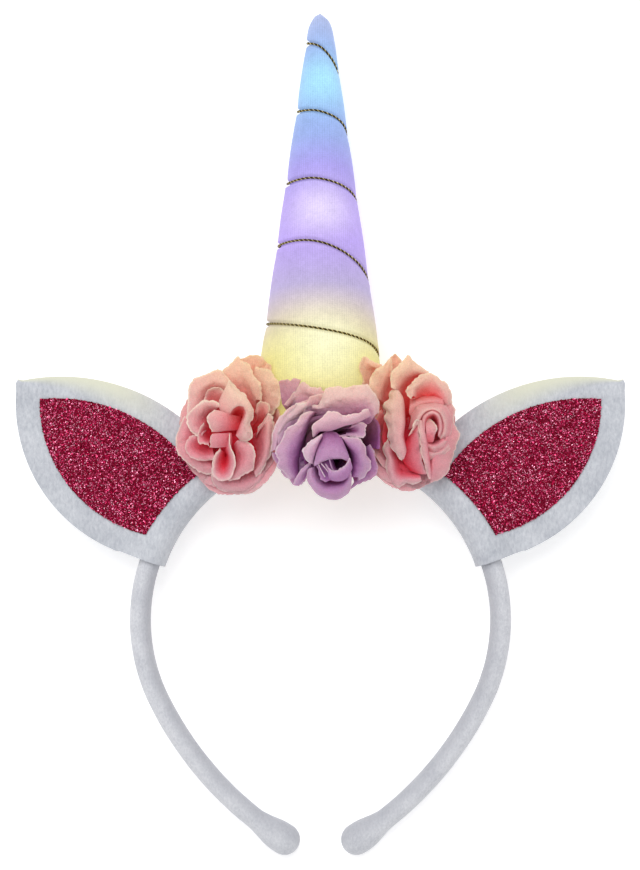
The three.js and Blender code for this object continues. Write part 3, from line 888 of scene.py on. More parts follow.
def strand_tree():
    group = bpy.data.node_groups.new("twist strands", "GeometryNodeTree")
    add_socket = group.interface.new_socket
    add_socket("Path", in_out="INPUT", socket_type="NodeSocketGeometry")
    add_socket("Strand radius", in_out="INPUT", socket_type="NodeSocketFloat")
    add_socket("Strand offset", in_out="INPUT", socket_type="NodeSocketFloat")
    add_socket("Turn length", in_out="INPUT", socket_type="NodeSocketFloat")
    add_socket("Step", in_out="INPUT", socket_type="NodeSocketFloat")
    add_socket("Cord", in_out="OUTPUT", socket_type="NodeSocketGeometry")
    tree = Tree(group)
    given = tree.add("NodeGroupInput").outputs
    path = tree.add("GeometryNodeMeshToCurve", {0: given[0]})
    even = tree.add(
        "GeometryNodeResampleCurve", {"Curve": path.outputs[0], "Length": given[4]}, mode="LENGTH"
    )
    along = tree.add("GeometryNodeSplineParameter").outputs["Length"]
    turns = tree.math("DIVIDE", along, given[3])
    tilt = tree.math("MULTIPLY", turns, 2 * math.pi)
    wound = tree.add("GeometryNodeSetCurveTilt", {"Curve": even.outputs[0], "Tilt": tilt})
    profile = tree.add("GeometryNodeJoinGeometry")
    for k in range(STRANDS):
        circle = tree.add("GeometryNodeCurvePrimitiveCircle", {"Resolution": STRAND_CORNERS})
        group.links.new(given[1], circle.inputs["Radius"])
        toward = (math.cos(around(k, STRANDS)), math.sin(around(k, STRANDS)), 0)
        away = tree.add("ShaderNodeVectorMath", {0: toward})
        away.operation = "SCALE"
        group.links.new(given[2], away.inputs["Scale"])
        moved = tree.add(
            "GeometryNodeTransform", {"Geometry": circle.outputs[0], "Translation": away.outputs[0]}
        )
        marked = tree.add(
            "GeometryNodeStoreNamedAttribute",
            {"Geometry": moved.outputs[0], "Name": "dark_strand", "Value": 1.0 if k else 0.0},
            data_type="FLOAT",
            domain="POINT",
        )
        group.links.new(marked.outputs[0], profile.inputs[0])
    swept = tree.add(
        "GeometryNodeCurveToMesh", {"Curve": wound.outputs[0], "Profile Curve": profile.outputs[0]}
    )
    swept.inputs["Fill Caps"].default_value = True
    round_ = tree.add("GeometryNodeSetShadeSmooth", {"Geometry": swept.outputs[0]})
    real = tree.add("GeometryNodeRealizeInstances", {"Geometry": round_.outputs[0]})
    painted = tree.add("GeometryNodeSetMaterial", {"Geometry": real.outputs[0], "Material": GOLD})
    tree.add("NodeGroupOutput", {0: painted.outputs[0]})
    return group


# %% Wind the cord
CORD_OFF_GROOVE = 0.3
STRAND_RADIUS = 0.21
STRAND_OFFSET = 0.22
STRAND_TURN = 1.7
STRAND_STEP = 0.22


def cord_path():
    points = []
    count = round((CORD_TO - CORD_FROM) * HORN_STEPS)
    for i in range(count + 1):
        turn = CORD_FROM + i / HORN_STEPS
        height = cord_height(turn)
        plain = horn_radius(height)
        radius = plain - groove(plain) + CORD_OFF_GROOVE + CORD_WIDTH / 2
        angle = 2 * math.pi * (turn - 0.5)
        points.append(Vector((radius * math.sin(angle), height, radius * math.cos(angle))))
    return points


path = cord_path()
cord_mesh = bpy.data.meshes.new("gold_cord")
edges = [(i, i + 1) for i in range(len(path) - 1)]
cord_mesh.from_pydata([HORN_FRAME @ point for point in path], edges, [])
cord = bpy.data.objects.new("gold_cord", cord_mesh)
bpy.context.collection.objects.link(cord)
run_tree(
    cord,
    strand_tree(),
    strand_radius=STRAND_RADIUS * MM,
    strand_offset=STRAND_OFFSET * MM,
    turn_length=STRAND_TURN * MM,
    step=STRAND_STEP * MM,
)
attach(cord, "root")
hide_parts("horn_cord")
report(cord)
length = sum((b - a).length for a, b in zip(path, path[1:]))
print("cord length", round(length), "mm")

# %% [markdown]
# ## Rose petals
# Each rose is cut from thin, crisp fabric: petals sewn on one another round a rolled heart.
# Seen from the side, a petal runs from the rose's foot out along a bowl-shaped line and up
# to its rim, which rolls back; seen from the front it is narrow at its foot, widest past
# its middle, round at the rim and a little frayed. A row of numbers gives each petal its
# place, and the colour deepens from the pale rim towards the foot: partly the fabric's own
# dye, partly painted shade in the hollows, with a painted highlight along each rim. Near
# the horn the petals are painted warm with the lamps' light.

# %% Rose finishes
# A painted highlight along each petal's rim: RIM_LIGHT raises the colour number there past 1.
RIM_LIGHT = 0.2


def rose_finish(name, dye_and_shade, lit, low):
    material, tree, shader, place = new_finish(name)
    along = tree.attribute("along")
    tone = tree.attribute("tone")
    crease = tree.noise(260.0, 4.0, place)
    share = tree.math("MULTIPLY_ADD", crease, 0.16, tree.math("SUBTRACT", along, 0.08))
    share = tree.math("ADD", share, tree.math("MULTIPLY_ADD", tone, 0.1, -0.05))
    colour = tree.ramp(tree.math("MULTIPLY", share, 1 / (1 + RIM_LIGHT)), dye_and_shade)
    # Painted light: near the horn the colour is warmed towards the lamps' light, more at the rim.
    more_at_rim = tree.math("MULTIPLY_ADD", along, 0.4, 0.3)
    near_lamps = tree.math("MULTIPLY", tree.attribute("lit"), more_at_rim)
    colour = tree.blend(near_lamps, colour, rgba(lit))
    only_at_rim = tree.math("MULTIPLY", along, 0.4)
    far_below = tree.math("MULTIPLY", tree.attribute("low"), only_at_rim)
    colour = tree.blend(far_below, colour, rgba(low))
    weave = tree.noise(2400.0, 3.0, place)
    speck = tree.ramp(weave, [(0.3, "#ececec"), (0.7, "#ffffff")])
    colour = tree.blend(1.0, colour, speck, "MULTIPLY")
    tree.tree.links.new(colour, shader.inputs["Base Color"])
    set_shader(shader, Roughness=0.8, Specular_IOR_Level=0.2, Subsurface_Weight=0.35)
    shader.inputs["Subsurface Radius"].default_value = (1.6 * MM, 0.8 * MM, 0.9 * MM)
    shader.inputs["Subsurface Scale"].default_value = 1.0
    height = tree.math("MULTIPLY_ADD", weave, 0.15, tree.noise(520.0, 5.0, place))
    link_bump(tree, shader, height, 0.75, 0.9)
    return material


# Colour stops from the foot to the rim: the deep ones are partly the fabric's deeper dye and partly
# painted shade for hollows; the lilac's near-black first stops are painted shade.
PINK_DYE_AND_SHADE = [(0.04, "#f62240"), (0.29, "#f2586a"), (0.58, "#ea8e98")]
PINK_DYE_AND_SHADE += [(0.8, "#e8aeae"), (1.0, "#fcdfd0")]
LILAC_DYE_AND_SHADE = [(0.02, "#24041a"), (0.13, "#561448"), (0.32, "#a0589c"), (0.58, "#c28cb8")]
LILAC_DYE_AND_SHADE += [(0.8, "#dcaec6"), (1.0, "#f8dce2")]
PINK = rose_finish("pink_petals", PINK_DYE_AND_SHADE, "#fdd4a4", "#d8a4b6")
LILAC = rose_finish("lilac_petals", LILAC_DYE_AND_SHADE, "#f8ccaa", "#a88cb8")


# %% Keep petals off what they lie on
PETAL_AIR = 0.7
HORN_BULGE = 0.6
NEAR_HORN_FOOT = (-4, 60)
EAR_SIDE = EAR_TO - 0.03
EAR_REACH = 22


def off_the_horn(at):
    """A point in the hoop's frame, moved out of the horn if it is inside it."""
    point = TO_HORN @ at
    away = math.hypot(point.x, point.z)
    keep = horn_radius(point.y) + HORN_BULGE + PETAL_AIR
    if NEAR_HORN_FOOT[0] < point.y < NEAR_HORN_FOOT[1] and away < keep:
        point.x *= keep / max(away, 0.1)
        point.z *= keep / max(away, 0.1)
    return FROM_HORN @ point


def off_the_hoop(at):
    """A point in the hoop's frame, lifted in front of the hoop and the ears."""
    flat = Vector((at.x, at.y))
    beyond = flat.length - ARCH_RADIUS
    turn = abs(math.atan2(at.x, at.y))
    keep = 0.0
    if abs(beyond) < HOOP_THICK / 2 + PETAL_AIR:
        keep = HOOP_DEPTH / 2 * math.sqrt(1 - (beyond / (HOOP_THICK / 2 + PETAL_AIR)) ** 2)
    if turn > EAR_SIDE and 0 < beyond < EAR_REACH:
        keep = ear_half(beyond)
    elif turn > EAR_SIDE and -SLEEVE_INNER < beyond <= 0:
        keep = SLEEVE_DEPTH * math.sqrt(1 - (beyond / SLEEVE_INNER) ** 2)
    if keep and at.z < keep + PETAL_AIR:
        at = Vector((at.x, at.y, keep + PETAL_AIR))
    return at


# %% The petal rule
IN_HOOP = Matrix.Identity(4)
LAMP_AT = 98
LIT_REACH = (42, 14)
LOW_REACH = (66, 42)


class Bouquet:
    """Gathers the petals of one cut into one mesh."""

    def __init__(self, rose_in_hoop):
        self.place = rose_in_hoop
        self.points, self.faces = [], []
        self.along, self.tone, self.lit, self.low = [], [], [], []

    def add_grid(self, rows, tone, place=None):
        """Add a petal's rows, with its tone and the light that reaches each point."""
        first = len(self.points)
        for row in rows:
            for point, along in row:
                at = off_the_hoop(off_the_horn((place or self.place) @ point))
                self.points.append(at)
                self.along.append(along)
                self.tone.append(tone)
                self.lit.append(smooth(math.hypot(0.6 * at.x, at.y - LAMP_AT), *LIT_REACH))
                self.low.append(smooth(at.y, *LOW_REACH))
        self.faces += grid_faces(len(rows), len(rows[0]), first)

    def made(self, name, material, thick):
        values = {"along": self.along, "tone": self.tone, "lit": self.lit, "low": self.low}
        piece = make_piece(name, self.points, self.faces, HOOP_FRAME, material, values)
        return solidified(piece, thick)


PETAL_ROWS = 20
PETAL_COLUMNS = 28
PETAL_FLAT = 5.0
PETAL_ROOT = 2.5


def petal_rows(petal, rim_height, foot, chance):
    """The rows of an under petal, from its foot to its rim."""
    direction, reach, half, height, bowl, cup, roll = petal
    phase, fray = chance.uniform(0, 6.28), chance.uniform(0, 6.28)
    waves = chance.uniform(1.1, 1.9)
    ruffle = chance.uniform(0.05, 0.09)
    start = (PETAL_ROOT, foot)
    rim = (reach, rim_height + height)
    halfway = ((start[0] + rim[0]) / 2, (start[1] + rim[1]) / 2)
    turn = (mix(halfway[0], rim[0], bowl), mix(halfway[1], start[1], bowl))
    first = (turn[0] - start[0], turn[1] - start[1])
    last = (rim[0] - turn[0], rim[1] - turn[1])
    rows = []
    for i in range(PETAL_ROWS + 1):
        s = i / PETAL_ROWS
        row = []
        for j in range(PETAL_COLUMNS + 1):
            x = 2 * j / PETAL_COLUMNS - 1
            frayed = 0.014 * math.sin(19 * x + fray) + 0.012 * math.sin(41 * x + 2 * fray)
            t = s * (1 - 0.2 * abs(x) ** 3 + frayed)
            out = (1 - t) ** 2 * start[0] + 2 * t * (1 - t) * turn[0] + t * t * rim[0]
            up = (1 - t) ** 2 * start[1] + 2 * t * (1 - t) * turn[1] + t * t * rim[1]
            run = (mix(first[0], last[0], t), mix(first[1], last[1], t))
            size = math.hypot(*run)
            normal = (-run[1] / size, run[0] / size)
            wide = half * (0.3 + 0.7 * math.sin(math.pi * (0.08 + 0.6 * t)))
            wave = math.sin(waves * math.pi * x + phase)
            bend = cup * x * x * half + ruffle * half * wave * s**3
            bend += 0.7 * noise.noise(Vector((out * 0.2, x * wide * 0.2, phase)))
            tip = smooth(s, 0.66, 1)
            out += bend * normal[0] + roll * tip * tip * (1 + 0.35 * wave)
            up += bend * normal[1] - roll * tip**3 * (0.75 + 0.3 * wave) + 0.5 * x * s
            swing = x * wide / (out + PETAL_FLAT)
            away = (out + PETAL_FLAT) * math.cos(swing) - PETAL_FLAT
            aside = (out + PETAL_FLAT) * math.sin(swing)
            angle = math.radians(direction)
            point = Vector(
                (
                    away * math.cos(angle) - aside * math.sin(angle),
                    away * math.sin(angle) + aside * math.cos(angle),
                    up,
                )
            )
            edge = max(s**1.2, 0.95 * abs(x) ** 5 * smooth(s, 0.05, 0.5))
            row.append((point, edge))
        rows.append(row)
    return rows


# %% [markdown]
# ## Shaped petals
# The petals that show from the front are shaped one by one, as a rose maker presses them.
# Each is a few lines laid across the petal: the first is its rim, the next its crest and
# the last the place where it dips among its neighbours. A smooth sheet is drawn through
# the lines and on down to the rose's foot.

# %% Draw a sheet through a petal's lines
def on_line(line, share):
    """A place on a smooth curve through a line's points."""
    run = share * (len(line) - 1)
    i = min(int(run), len(line) - 2)
    t = run - i
    a, b = Vector(line[max(i - 1, 0)]), Vector(line[i])
    c, d = Vector(line[i + 1]), Vector(line[min(i + 2, len(line) - 1)])
    bend = b * 2 + (c - a) * t + (a * 2 - b * 5 + c * 4 - d) * t * t
    return (bend + (b * 3 - a - c * 3 + d) * t**3) / 2


SHAPED_ROWS = 52
SHAPED_COLUMNS = 18
FOOT_COLUMNS = 3
RIM_CLOSENESS = 1.5
RIM_BAND = (1.1, 0.2)


def shaped_rows(petal, foot, chance):
    """The rows of a shaped petal, each from its rim down to the rose's foot."""
    shades, *lines = petal
    phase = chance.uniform(0, 6.28)
    rim = [Vector(point) for point in lines[0]]
    length = sum((b - a).length for a, b in zip(rim, rim[1:]))
    rows = []
    for i in range(SHAPED_ROWS + 1):
        share = i / SHAPED_ROWS
        across = [on_line(line, share) for line in lines]
        outward = (across[0] - across[1]) * min(1, 2 / (across[0] - across[1]).length)
        far = share * length + 40 * phase
        frayed = 0.4 * noise.noise(Vector((far * 0.3, phase, 0)))
        frayed += 0.32 * noise.noise(Vector((far * 0.9, phase, 9)))
        ruffled = 1.8 * noise.noise(Vector((far * 0.3, phase, 4)))
        row = []
        for j in range(SHAPED_COLUMNS + 1):
            t = (j / SHAPED_COLUMNS) ** RIM_CLOSENESS
            point = on_line(across, t)
            from_rim = (point - across[0]).length
            point += outward * frayed * (1 - t) ** 4
            point.z += ruffled * (1 - t) ** 3
            point.z += 0.5 * noise.noise(Vector((point.x * 0.22, point.y * 0.22, phase)))
            point.z += 0.2 * noise.noise(Vector((point.x * 0.6, point.y * 0.6, phase + 5)))
            # The line's number, partly dye and partly painted shade, with a painted highlight added
            # near the rim.
            run = t * (len(shades) - 1)
            step = min(int(run), len(shades) - 2)
            shade = mix(shades[step], shades[step + 1], run - step)
            row.append((point, shade + RIM_LIGHT * smooth(from_rim, *RIM_BAND)))
        root, shade = row[-1]
        inward = (mix(root.x, foot.x, 0.6), mix(root.y, foot.y, 0.6))
        inside = Vector((*inward, min(foot.z, root.z - 1)))
        for j in range(1, FOOT_COLUMNS + 1):
            t = j / FOOT_COLUMNS
            row.append((root.lerp(inside, t), shade * (1 - t)))
        rows.append(row)
    return rows


# %% [markdown]
# ## The three roses
# A rose's under petals come from the petal rule. Each of their rows is one petal: its
# direction round the rose, how far its rim reaches, half its width, how much higher than
# its neighbours its rim stands, how bowl-shaped it is, how much its sides curl in, and how
# far its rim rolls back. Its shaped petals follow, each with the colour of its lines, from
# 1 for the pale rim to 0 for the depth, and then the lines; the low numbers are partly the
# fabric's deeper dye and partly painted shade where a line lies in a hollow or under other
# petals. The two pink roses face slightly outwards, and the lilac one in the middle faces
# down and stands higher, because it lies over the foot of the horn.

# %% The left rose
LEFT_ROSE = {
    "name": "rose_left",
    "finish": PINK,
    "slot": "rose_pink",
    "foot": (-28.6, 59.9, 4.8),
    "faces": (-0.18, 0.32, 0.93),
    "under_petals": {
        "outer": [
            (66, 26, 11, -1, 0.2, 0.05, 0.8),
            (92, 25, 12, -2, 0.3, 0.05, 1),
            (40, 20, 10, 0, 0.2, 0, 0.6),
            (124, 22, 13, -1, 0.4, 0.08, 1.2),
            (158, 17, 11, 0, 0.4, 0.1, 1),
            (192, 16.5, 12, -0.5, 0.4, 0.08, 1.4),
            (228, 16, 11, -1, 0.4, 0.1, 1.2),
            (264, 17.5, 12, -1.5, 0.3, 0.06, 1),
            (296, 17.5, 11, -1, 0.4, 0.1, 1.2),
            (332, 14.5, 10, 0, 0.4, 0.08, 1),
            (6, 13.5, 9, 1, 0.3, 0.05, 0.6),
        ],
        "middle": [
            (104, 12, 9, -2, 0.5, 0.12, 1),
            (148, 11, 8, -2, 0.5, 0.15, 1),
            (345, 12, 10, -2, 0.5, 0.12, 1),
            (200, 10, 8, -2, 0.5, 0.15, 1),
            (262, 11, 7, -2, 0.4, 0.25, 0.8),
            (306, 11, 8, -2, 0.45, 0.12, 1),
        ],
    },
    "shaped_petals": {
        "outer": [
            ((1, 0.5),
             [(-28, 88.7, 8), (-23.9, 90.4, 9), (-20.5, 90, 9.5), (-18.8, 88.4, 9.5),
              (-16.8, 87, 9.5), (-15.7, 84.3, 9.5)],
             [(-27.3, 82.7, 7), (-25.3, 81.3, 7), (-22.9, 79.9, 7), (-19.9, 78.6, 7)]),
            ((1, 0.8, 0.45),
             [(-21.8, 86.6, 11.5), (-19.4, 85.8, 12), (-16.7, 84.6, 12), (-14.7, 82.5, 12.5),
              (-13.7, 80.5, 13), (-13, 76.8, 13), (-13.7, 74.1, 13), (-14.7, 72.4, 12.5),
              (-16, 69.7, 12)],
             [(-23.1, 82.6, 11.5), (-21.1, 81.9, 12), (-19.4, 80.5, 12.5), (-18.1, 77.8, 12.5),
              (-17.7, 75.1, 12), (-18.4, 71.4, 11.5)],
             [(-23.9, 77.5, 9), (-22.9, 75.5, 9), (-21.9, 73.8, 9), (-20.8, 72.1, 9),
              (-19.8, 70.4, 9)]),
            ((1, 0.85, 0.3),
             [(-33.9, 83.9, 13), (-30.8, 86.6, 13.5), (-27.8, 89.6, 13), (-26.5, 87.9, 13.5),
              (-23.8, 86.6, 14), (-22.4, 83.5, 14.5), (-20.4, 80.8, 15), (-19.7, 78.1, 15),
              (-20.1, 74.8, 14)],
             [(-30.5, 81.2, 14), (-28.5, 82.5, 14.5), (-26.4, 83.2, 14.5), (-24.7, 81.5, 15),
              (-23.1, 78.8, 15), (-21.7, 75.1, 14)],
             [(-27.2, 76.5, 11), (-25.5, 74.8, 11), (-23.8, 73.1, 10.5), (-22.5, 72.1, 10.5),
              (-21.5, 71.8, 10.5)]),
            ((1, 0.8, 0.55),
             [(-46.2, 69.7, 10), (-47.5, 66.3, 10.5), (-48.8, 62.6, 11), (-48.8, 59.2, 11.5),
              (-47.8, 56.5, 12), (-45.4, 54.2, 12), (-43.1, 52.5, 12), (-40.7, 50.8, 12),
              (-38.3, 50.1, 12), (-36, 50.1, 12)],
             [(-43.4, 69, 12), (-45.1, 65.7, 12.5), (-46, 62.6, 13), (-46, 59.6, 13),
              (-45, 57.2, 13.5), (-42.6, 55.2, 13.5), (-40, 53.5, 13.5), (-36.6, 52.5, 13.5)],
             [(-40.7, 66.3, 11.5), (-42.1, 63.6, 11.5), (-42.4, 60.9, 12), (-41.4, 58.6, 12),
              (-39.3, 56.5, 12), (-36.6, 55.2, 12)]),
            ((1, 0.8, 0.5),
             [(-37, 50.8, 12), (-36.3, 47.4, 12), (-34.6, 45.2, 12), (-31.9, 44.2, 12),
              (-28.5, 43.7, 12), (-25.2, 43.4, 12), (-22.1, 44.2, 12), (-20.4, 45.9, 12),
              (-18.7, 47.8, 12), (-17.4, 50.5, 12)],
             [(-35.2, 50.8, 14.5), (-33.8, 47.8, 15), (-30.8, 46.1, 15.5), (-27.4, 45.8, 15.5),
              (-24.4, 46.5, 15.5), (-22, 47.8, 15), (-20, 49.8, 14.5), (-18.7, 52.2, 13.5)],
             [(-31.9, 52.8, 13), (-29.2, 50.1, 13), (-25.8, 50.1, 13), (-23.1, 52.2, 12.5),
              (-21.4, 54.2, 12)]),
            ((1, 0.6, 0.3),
             [(-22.1, 71.1, 13.5), (-21.4, 73.4, 14.5), (-20, 74.7, 15), (-18.3, 74.4, 15),
              (-17.3, 73.1, 15), (-17.4, 70.7, 14)],
             [(-21.4, 70, 13.5), (-20.7, 71.7, 14), (-19.4, 72.1, 14), (-18.4, 70, 13.5)],
             [(-21.8, 68, 11), (-20.5, 68.7, 11), (-18.8, 68, 11)]),
            ((1, 0.8, 0.4),
             [(-21, 66, 15), (-19, 68.3, 16), (-17.3, 70.7, 16), (-16, 69.4, 16), (-15.6, 67, 16),
              (-16, 64, 16), (-16.6, 59.9, 16), (-17, 56.6, 16), (-18, 54.2, 15.5),
              (-19.7, 51.5, 15.5), (-21.7, 49.2, 15)],
             [(-21.4, 63.6, 14.5), (-20, 65.7, 15.5), (-18.3, 67, 16.5), (-18, 64.3, 17),
              (-18.3, 60.3, 17), (-19, 56.6, 17), (-20.3, 53.6, 16.5), (-22.4, 50.9, 16)],
             [(-21.8, 62.3, 11), (-21.5, 64, 11), (-21.1, 64, 11), (-21.5, 61.3, 11),
              (-21.8, 58.2, 11), (-22.5, 55.2, 11), (-23.5, 52.5, 11.5)]),
        ],
        "middle": [
            ((1, 0.95, 0.8, 0.5),
             [(-45, 69.7, 13), (-44.7, 73.4, 13.5), (-44.3, 77.1, 14), (-43.8, 81, 14.5),
              (-40.5, 83.1, 15.5), (-37.2, 84.7, 16), (-33.5, 84.8, 16), (-30.8, 82.1, 16.5),
              (-27, 78.1, 18)],
             [(-42.6, 70.7, 15), (-42.2, 74.7, 15.5), (-41.2, 78.4, 16.5), (-38.8, 80.4, 17),
              (-36.1, 81.8, 17), (-33.1, 81.4, 17), (-30.7, 79.4, 17.5), (-28, 76.7, 18)],
             [(-39.9, 71.7, 14), (-39.9, 74.8, 14.5), (-39.2, 77.4, 15), (-37.8, 79.1, 15.5),
              (-35.5, 79.8, 15.5), (-33.1, 79.4, 16), (-31.1, 77.4, 16.5), (-29.7, 75.4, 17)],
             [(-38, 71.8, 11), (-37.7, 73.8, 11.5), (-37, 75.5, 12), (-35.6, 76.1, 12),
              (-33.9, 75.8, 12.5), (-32.6, 74.4, 13)]),
            ((0.9, 0.6, 0.35),
             [(-39.5, 74.1, 16), (-38.6, 77.1, 17), (-37.1, 78.7, 17.5), (-35.1, 79.2, 17.5),
              (-33.1, 78.7, 18), (-31.7, 76.7, 18)],
             [(-38.2, 74.1, 15.5), (-37.5, 76.4, 16), (-35.8, 77.4, 16), (-34.1, 77.1, 16.5),
              (-32.8, 75.4, 16.5)],
             [(-36.9, 72.4, 14), (-36.2, 73.7, 14), (-35.2, 73.7, 14), (-33.9, 73.1, 14)]),
            ((1, 0.85, 0.6, 0.3),
             [(-33.1, 73.4, 18), (-35.7, 74.7, 18), (-38.8, 74.9, 17.5), (-41.8, 73.2, 17),
              (-44.2, 70.7, 16), (-44.9, 68, 15.5), (-43.9, 65, 15.5), (-41.9, 63.3, 16),
              (-40.2, 62, 16.5)],
             [(-34, 72.7, 18.5), (-36.4, 73.4, 18.5), (-38.8, 73, 18), (-40.8, 71.4, 17.5),
              (-42.5, 69, 17), (-42.8, 66.7, 16.5), (-41.1, 64.6, 17), (-39.5, 63.6, 17)],
             [(-35.1, 72, 17), (-36.8, 72, 16.5), (-38.2, 70.7, 15.5), (-39.2, 68.7, 15),
              (-39.2, 66.3, 15), (-38.5, 64.6, 15.5)],
             [(-35.6, 71.4, 13), (-37.3, 70.7, 12.5), (-38, 68.7, 12), (-38, 66, 12)]),
            ((0.9, 0.75, 0.4, 0.25),
             [(-41.6, 63.6, 15), (-44.3, 62.6, 15), (-45.4, 60.3, 15), (-45.4, 57.9, 15),
              (-43.9, 55.9, 15.5), (-41.2, 54.9, 16), (-38.1, 54.6, 16.5), (-35.4, 55.2, 17)],
             [(-41.2, 62.6, 15), (-42.9, 61.6, 15), (-43.9, 59.9, 15), (-43.6, 58.3, 15.5),
              (-41.9, 56.6, 16), (-38.5, 55.9, 16.5), (-35.8, 56.6, 17)],
             [(-39.6, 61.3, 13), (-41, 60.3, 12.5), (-40.7, 58.6, 12.5), (-38.6, 57.9, 13),
              (-36.2, 58.2, 14)],
             [(-38.4, 60.9, 11), (-39, 59.9, 11), (-38, 58.9, 11.5), (-36.3, 59.2, 12)]),
            ((1, 0.9, 0.75, 0.4),
             [(-27, 61.6, 19.5), (-24.6, 61.3, 20), (-22.9, 59.6, 20), (-21.9, 57.3, 19.5),
              (-22.3, 53.9, 19), (-22.8, 51.9, 18.5), (-25, 50.6, 18.5), (-26, 49.5, 18),
              (-28.4, 48.5, 17.5), (-30.7, 47.8, 17)],
             [(-28, 61.3, 19.5), (-25.9, 60.3, 20), (-24.3, 58.3, 20.5), (-23.9, 55.6, 20),
              (-24.3, 53.6, 19.5), (-26.3, 51.9, 19), (-28.7, 49.9, 18), (-31.4, 48.5, 17)],
             [(-28.7, 60.6, 18.5), (-27.3, 58.9, 19), (-26.3, 56.9, 19), (-26.7, 54.6, 18.5),
              (-28, 52.6, 18), (-30.4, 50.2, 17), (-32.1, 49.2, 16.5)],
             [(-29.1, 59.9, 16), (-28.8, 58.3, 16), (-28.4, 55.9, 16), (-28.8, 53.9, 15.5),
              (-30.1, 51.9, 15), (-31.8, 50.5, 15)]),
            ((1, 0.8, 0.25, 0.05),
             [(-33.7, 58.9, 18.5), (-35.2, 56.9, 18.5), (-36.1, 54.2, 18), (-36.3, 51.2, 17.5),
              (-35.1, 48.9, 17.5), (-32.7, 47.9, 18), (-30.3, 48.9, 19), (-28.8, 51.3, 20.5),
              (-28.2, 53.9, 21.5), (-28.9, 57, 22), (-30.2, 60.6, 22), (-30.4, 64, 21.5)],
             [(-33.4, 58.3, 18), (-34.4, 56.3, 18), (-35.1, 53.9, 17.5), (-35.1, 51.6, 17.5),
              (-34.1, 49.9, 17.5), (-32.4, 49.2, 18), (-30.7, 50.2, 19), (-29.6, 52.6, 20),
              (-29.4, 55.3, 20.5), (-30.3, 57.9, 20.5), (-30.6, 60, 20.5), (-30.5, 62.6, 20.5)],
             [(-32.8, 57.9, 15), (-33.2, 55.9, 14.5), (-33.5, 53.5, 14.5), (-32.8, 51.8, 14.5),
              (-31.8, 52.5, 15), (-31.1, 54.6, 15.5), (-31.1, 56.6, 16), (-31.8, 58.3, 16.5)],
             [(-32.2, 57.6, 12.5), (-32.2, 55.2, 12.5), (-32.2, 53.8, 12.5), (-31.9, 55.5, 12.5),
              (-31.5, 57.2, 13)]),
        ],
        "inner": [
            ((0.9, 0.6, 0.2),
             [(-39.1, 67.3, 18), (-40.8, 65, 18), (-41.1, 62.6, 18), (-40.8, 60.3, 18),
              (-39.1, 60.3, 18.5), (-37.4, 59.6, 18.5)],
             [(-38.8, 66.3, 17), (-39.8, 64.6, 17), (-39.8, 62.6, 17), (-39.1, 61.3, 17.5),
              (-37.4, 60.6, 17.5)],
             [(-37.6, 66, 14), (-38.2, 64, 14), (-37.9, 62.3, 14), (-36.9, 61.6, 14)]),
            ((0.95, 0.85, 0.6, 0.15),
             [(-36.5, 64.5, 20), (-37.3, 67, 21), (-37.6, 69.3, 21), (-37, 70.8, 20.5),
              (-35.7, 71.7, 20)],
             [(-34.6, 64.3, 21), (-34.9, 67, 23), (-34.9, 69, 23), (-34.2, 70.5, 22),
              (-33.3, 71.2, 21)],
             [(-31.6, 64.8, 20.5), (-31.6, 67, 22), (-31.2, 68.6, 22), (-30.9, 69.7, 21.5),
              (-30.6, 70.3, 21)],
             [(-27.1, 65, 16), (-26.7, 66.3, 16), (-26.7, 67.7, 15.5), (-26.4, 69.4, 15)]),
            ((0.9, 0.8, 0.55),
             [(-37.4, 59.3, 18.5), (-37, 61.3, 19.5), (-36.7, 63, 20), (-36, 63.6, 20)],
             [(-34.7, 59.1, 19.5), (-34.6, 61.3, 21), (-34.6, 63, 21.5), (-33.9, 63.8, 21)],
             [(-30.1, 59.6, 17), (-30, 61.3, 18.5), (-30, 63, 19), (-30, 64, 18.5)]),
        ],
        "heart": [
            ((1, 1, 0.75, 0.1),
             [(-30.7, 81.8, 17.5), (-28, 78.4, 19.5), (-25.3, 77.2, 21), (-23.6, 74.3, 22),
              (-22.2, 71.3, 22.5), (-23.1, 68.6, 22), (-23.7, 67, 21.5), (-22.9, 64.3, 21.5),
              (-22.9, 62.6, 21), (-24.9, 61.5, 20), (-27, 61.3, 19.5)],
             [(-31.7, 79.4, 19), (-29.2, 77, 22), (-26.9, 75.6, 23.5), (-24.8, 73.6, 24),
              (-23.7, 71.3, 24), (-24.3, 69.3, 24), (-25, 67.3, 23.5), (-24.9, 65, 23),
              (-25.2, 63, 22.5), (-26.9, 61.6, 20.5)],
             [(-34.1, 74.4, 18), (-33.3, 71.7, 20), (-30.6, 70.7, 21.5), (-28.9, 72.5, 23),
              (-26.9, 73.5, 23.5), (-25, 71.8, 23.5), (-25.2, 69.6, 23), (-26.2, 67, 22.5),
              (-27.1, 64.6, 22), (-28.1, 63, 21)],
             [(-33.1, 73.4, 15.5), (-31.8, 71, 16.5), (-29.7, 70, 17), (-28.4, 71.4, 17),
              (-26.7, 71.7, 16.5), (-26.1, 70, 15.5), (-26.8, 68, 14.5), (-27.8, 65.3, 15),
              (-28.4, 63.3, 16)]),
        ],
    },
}

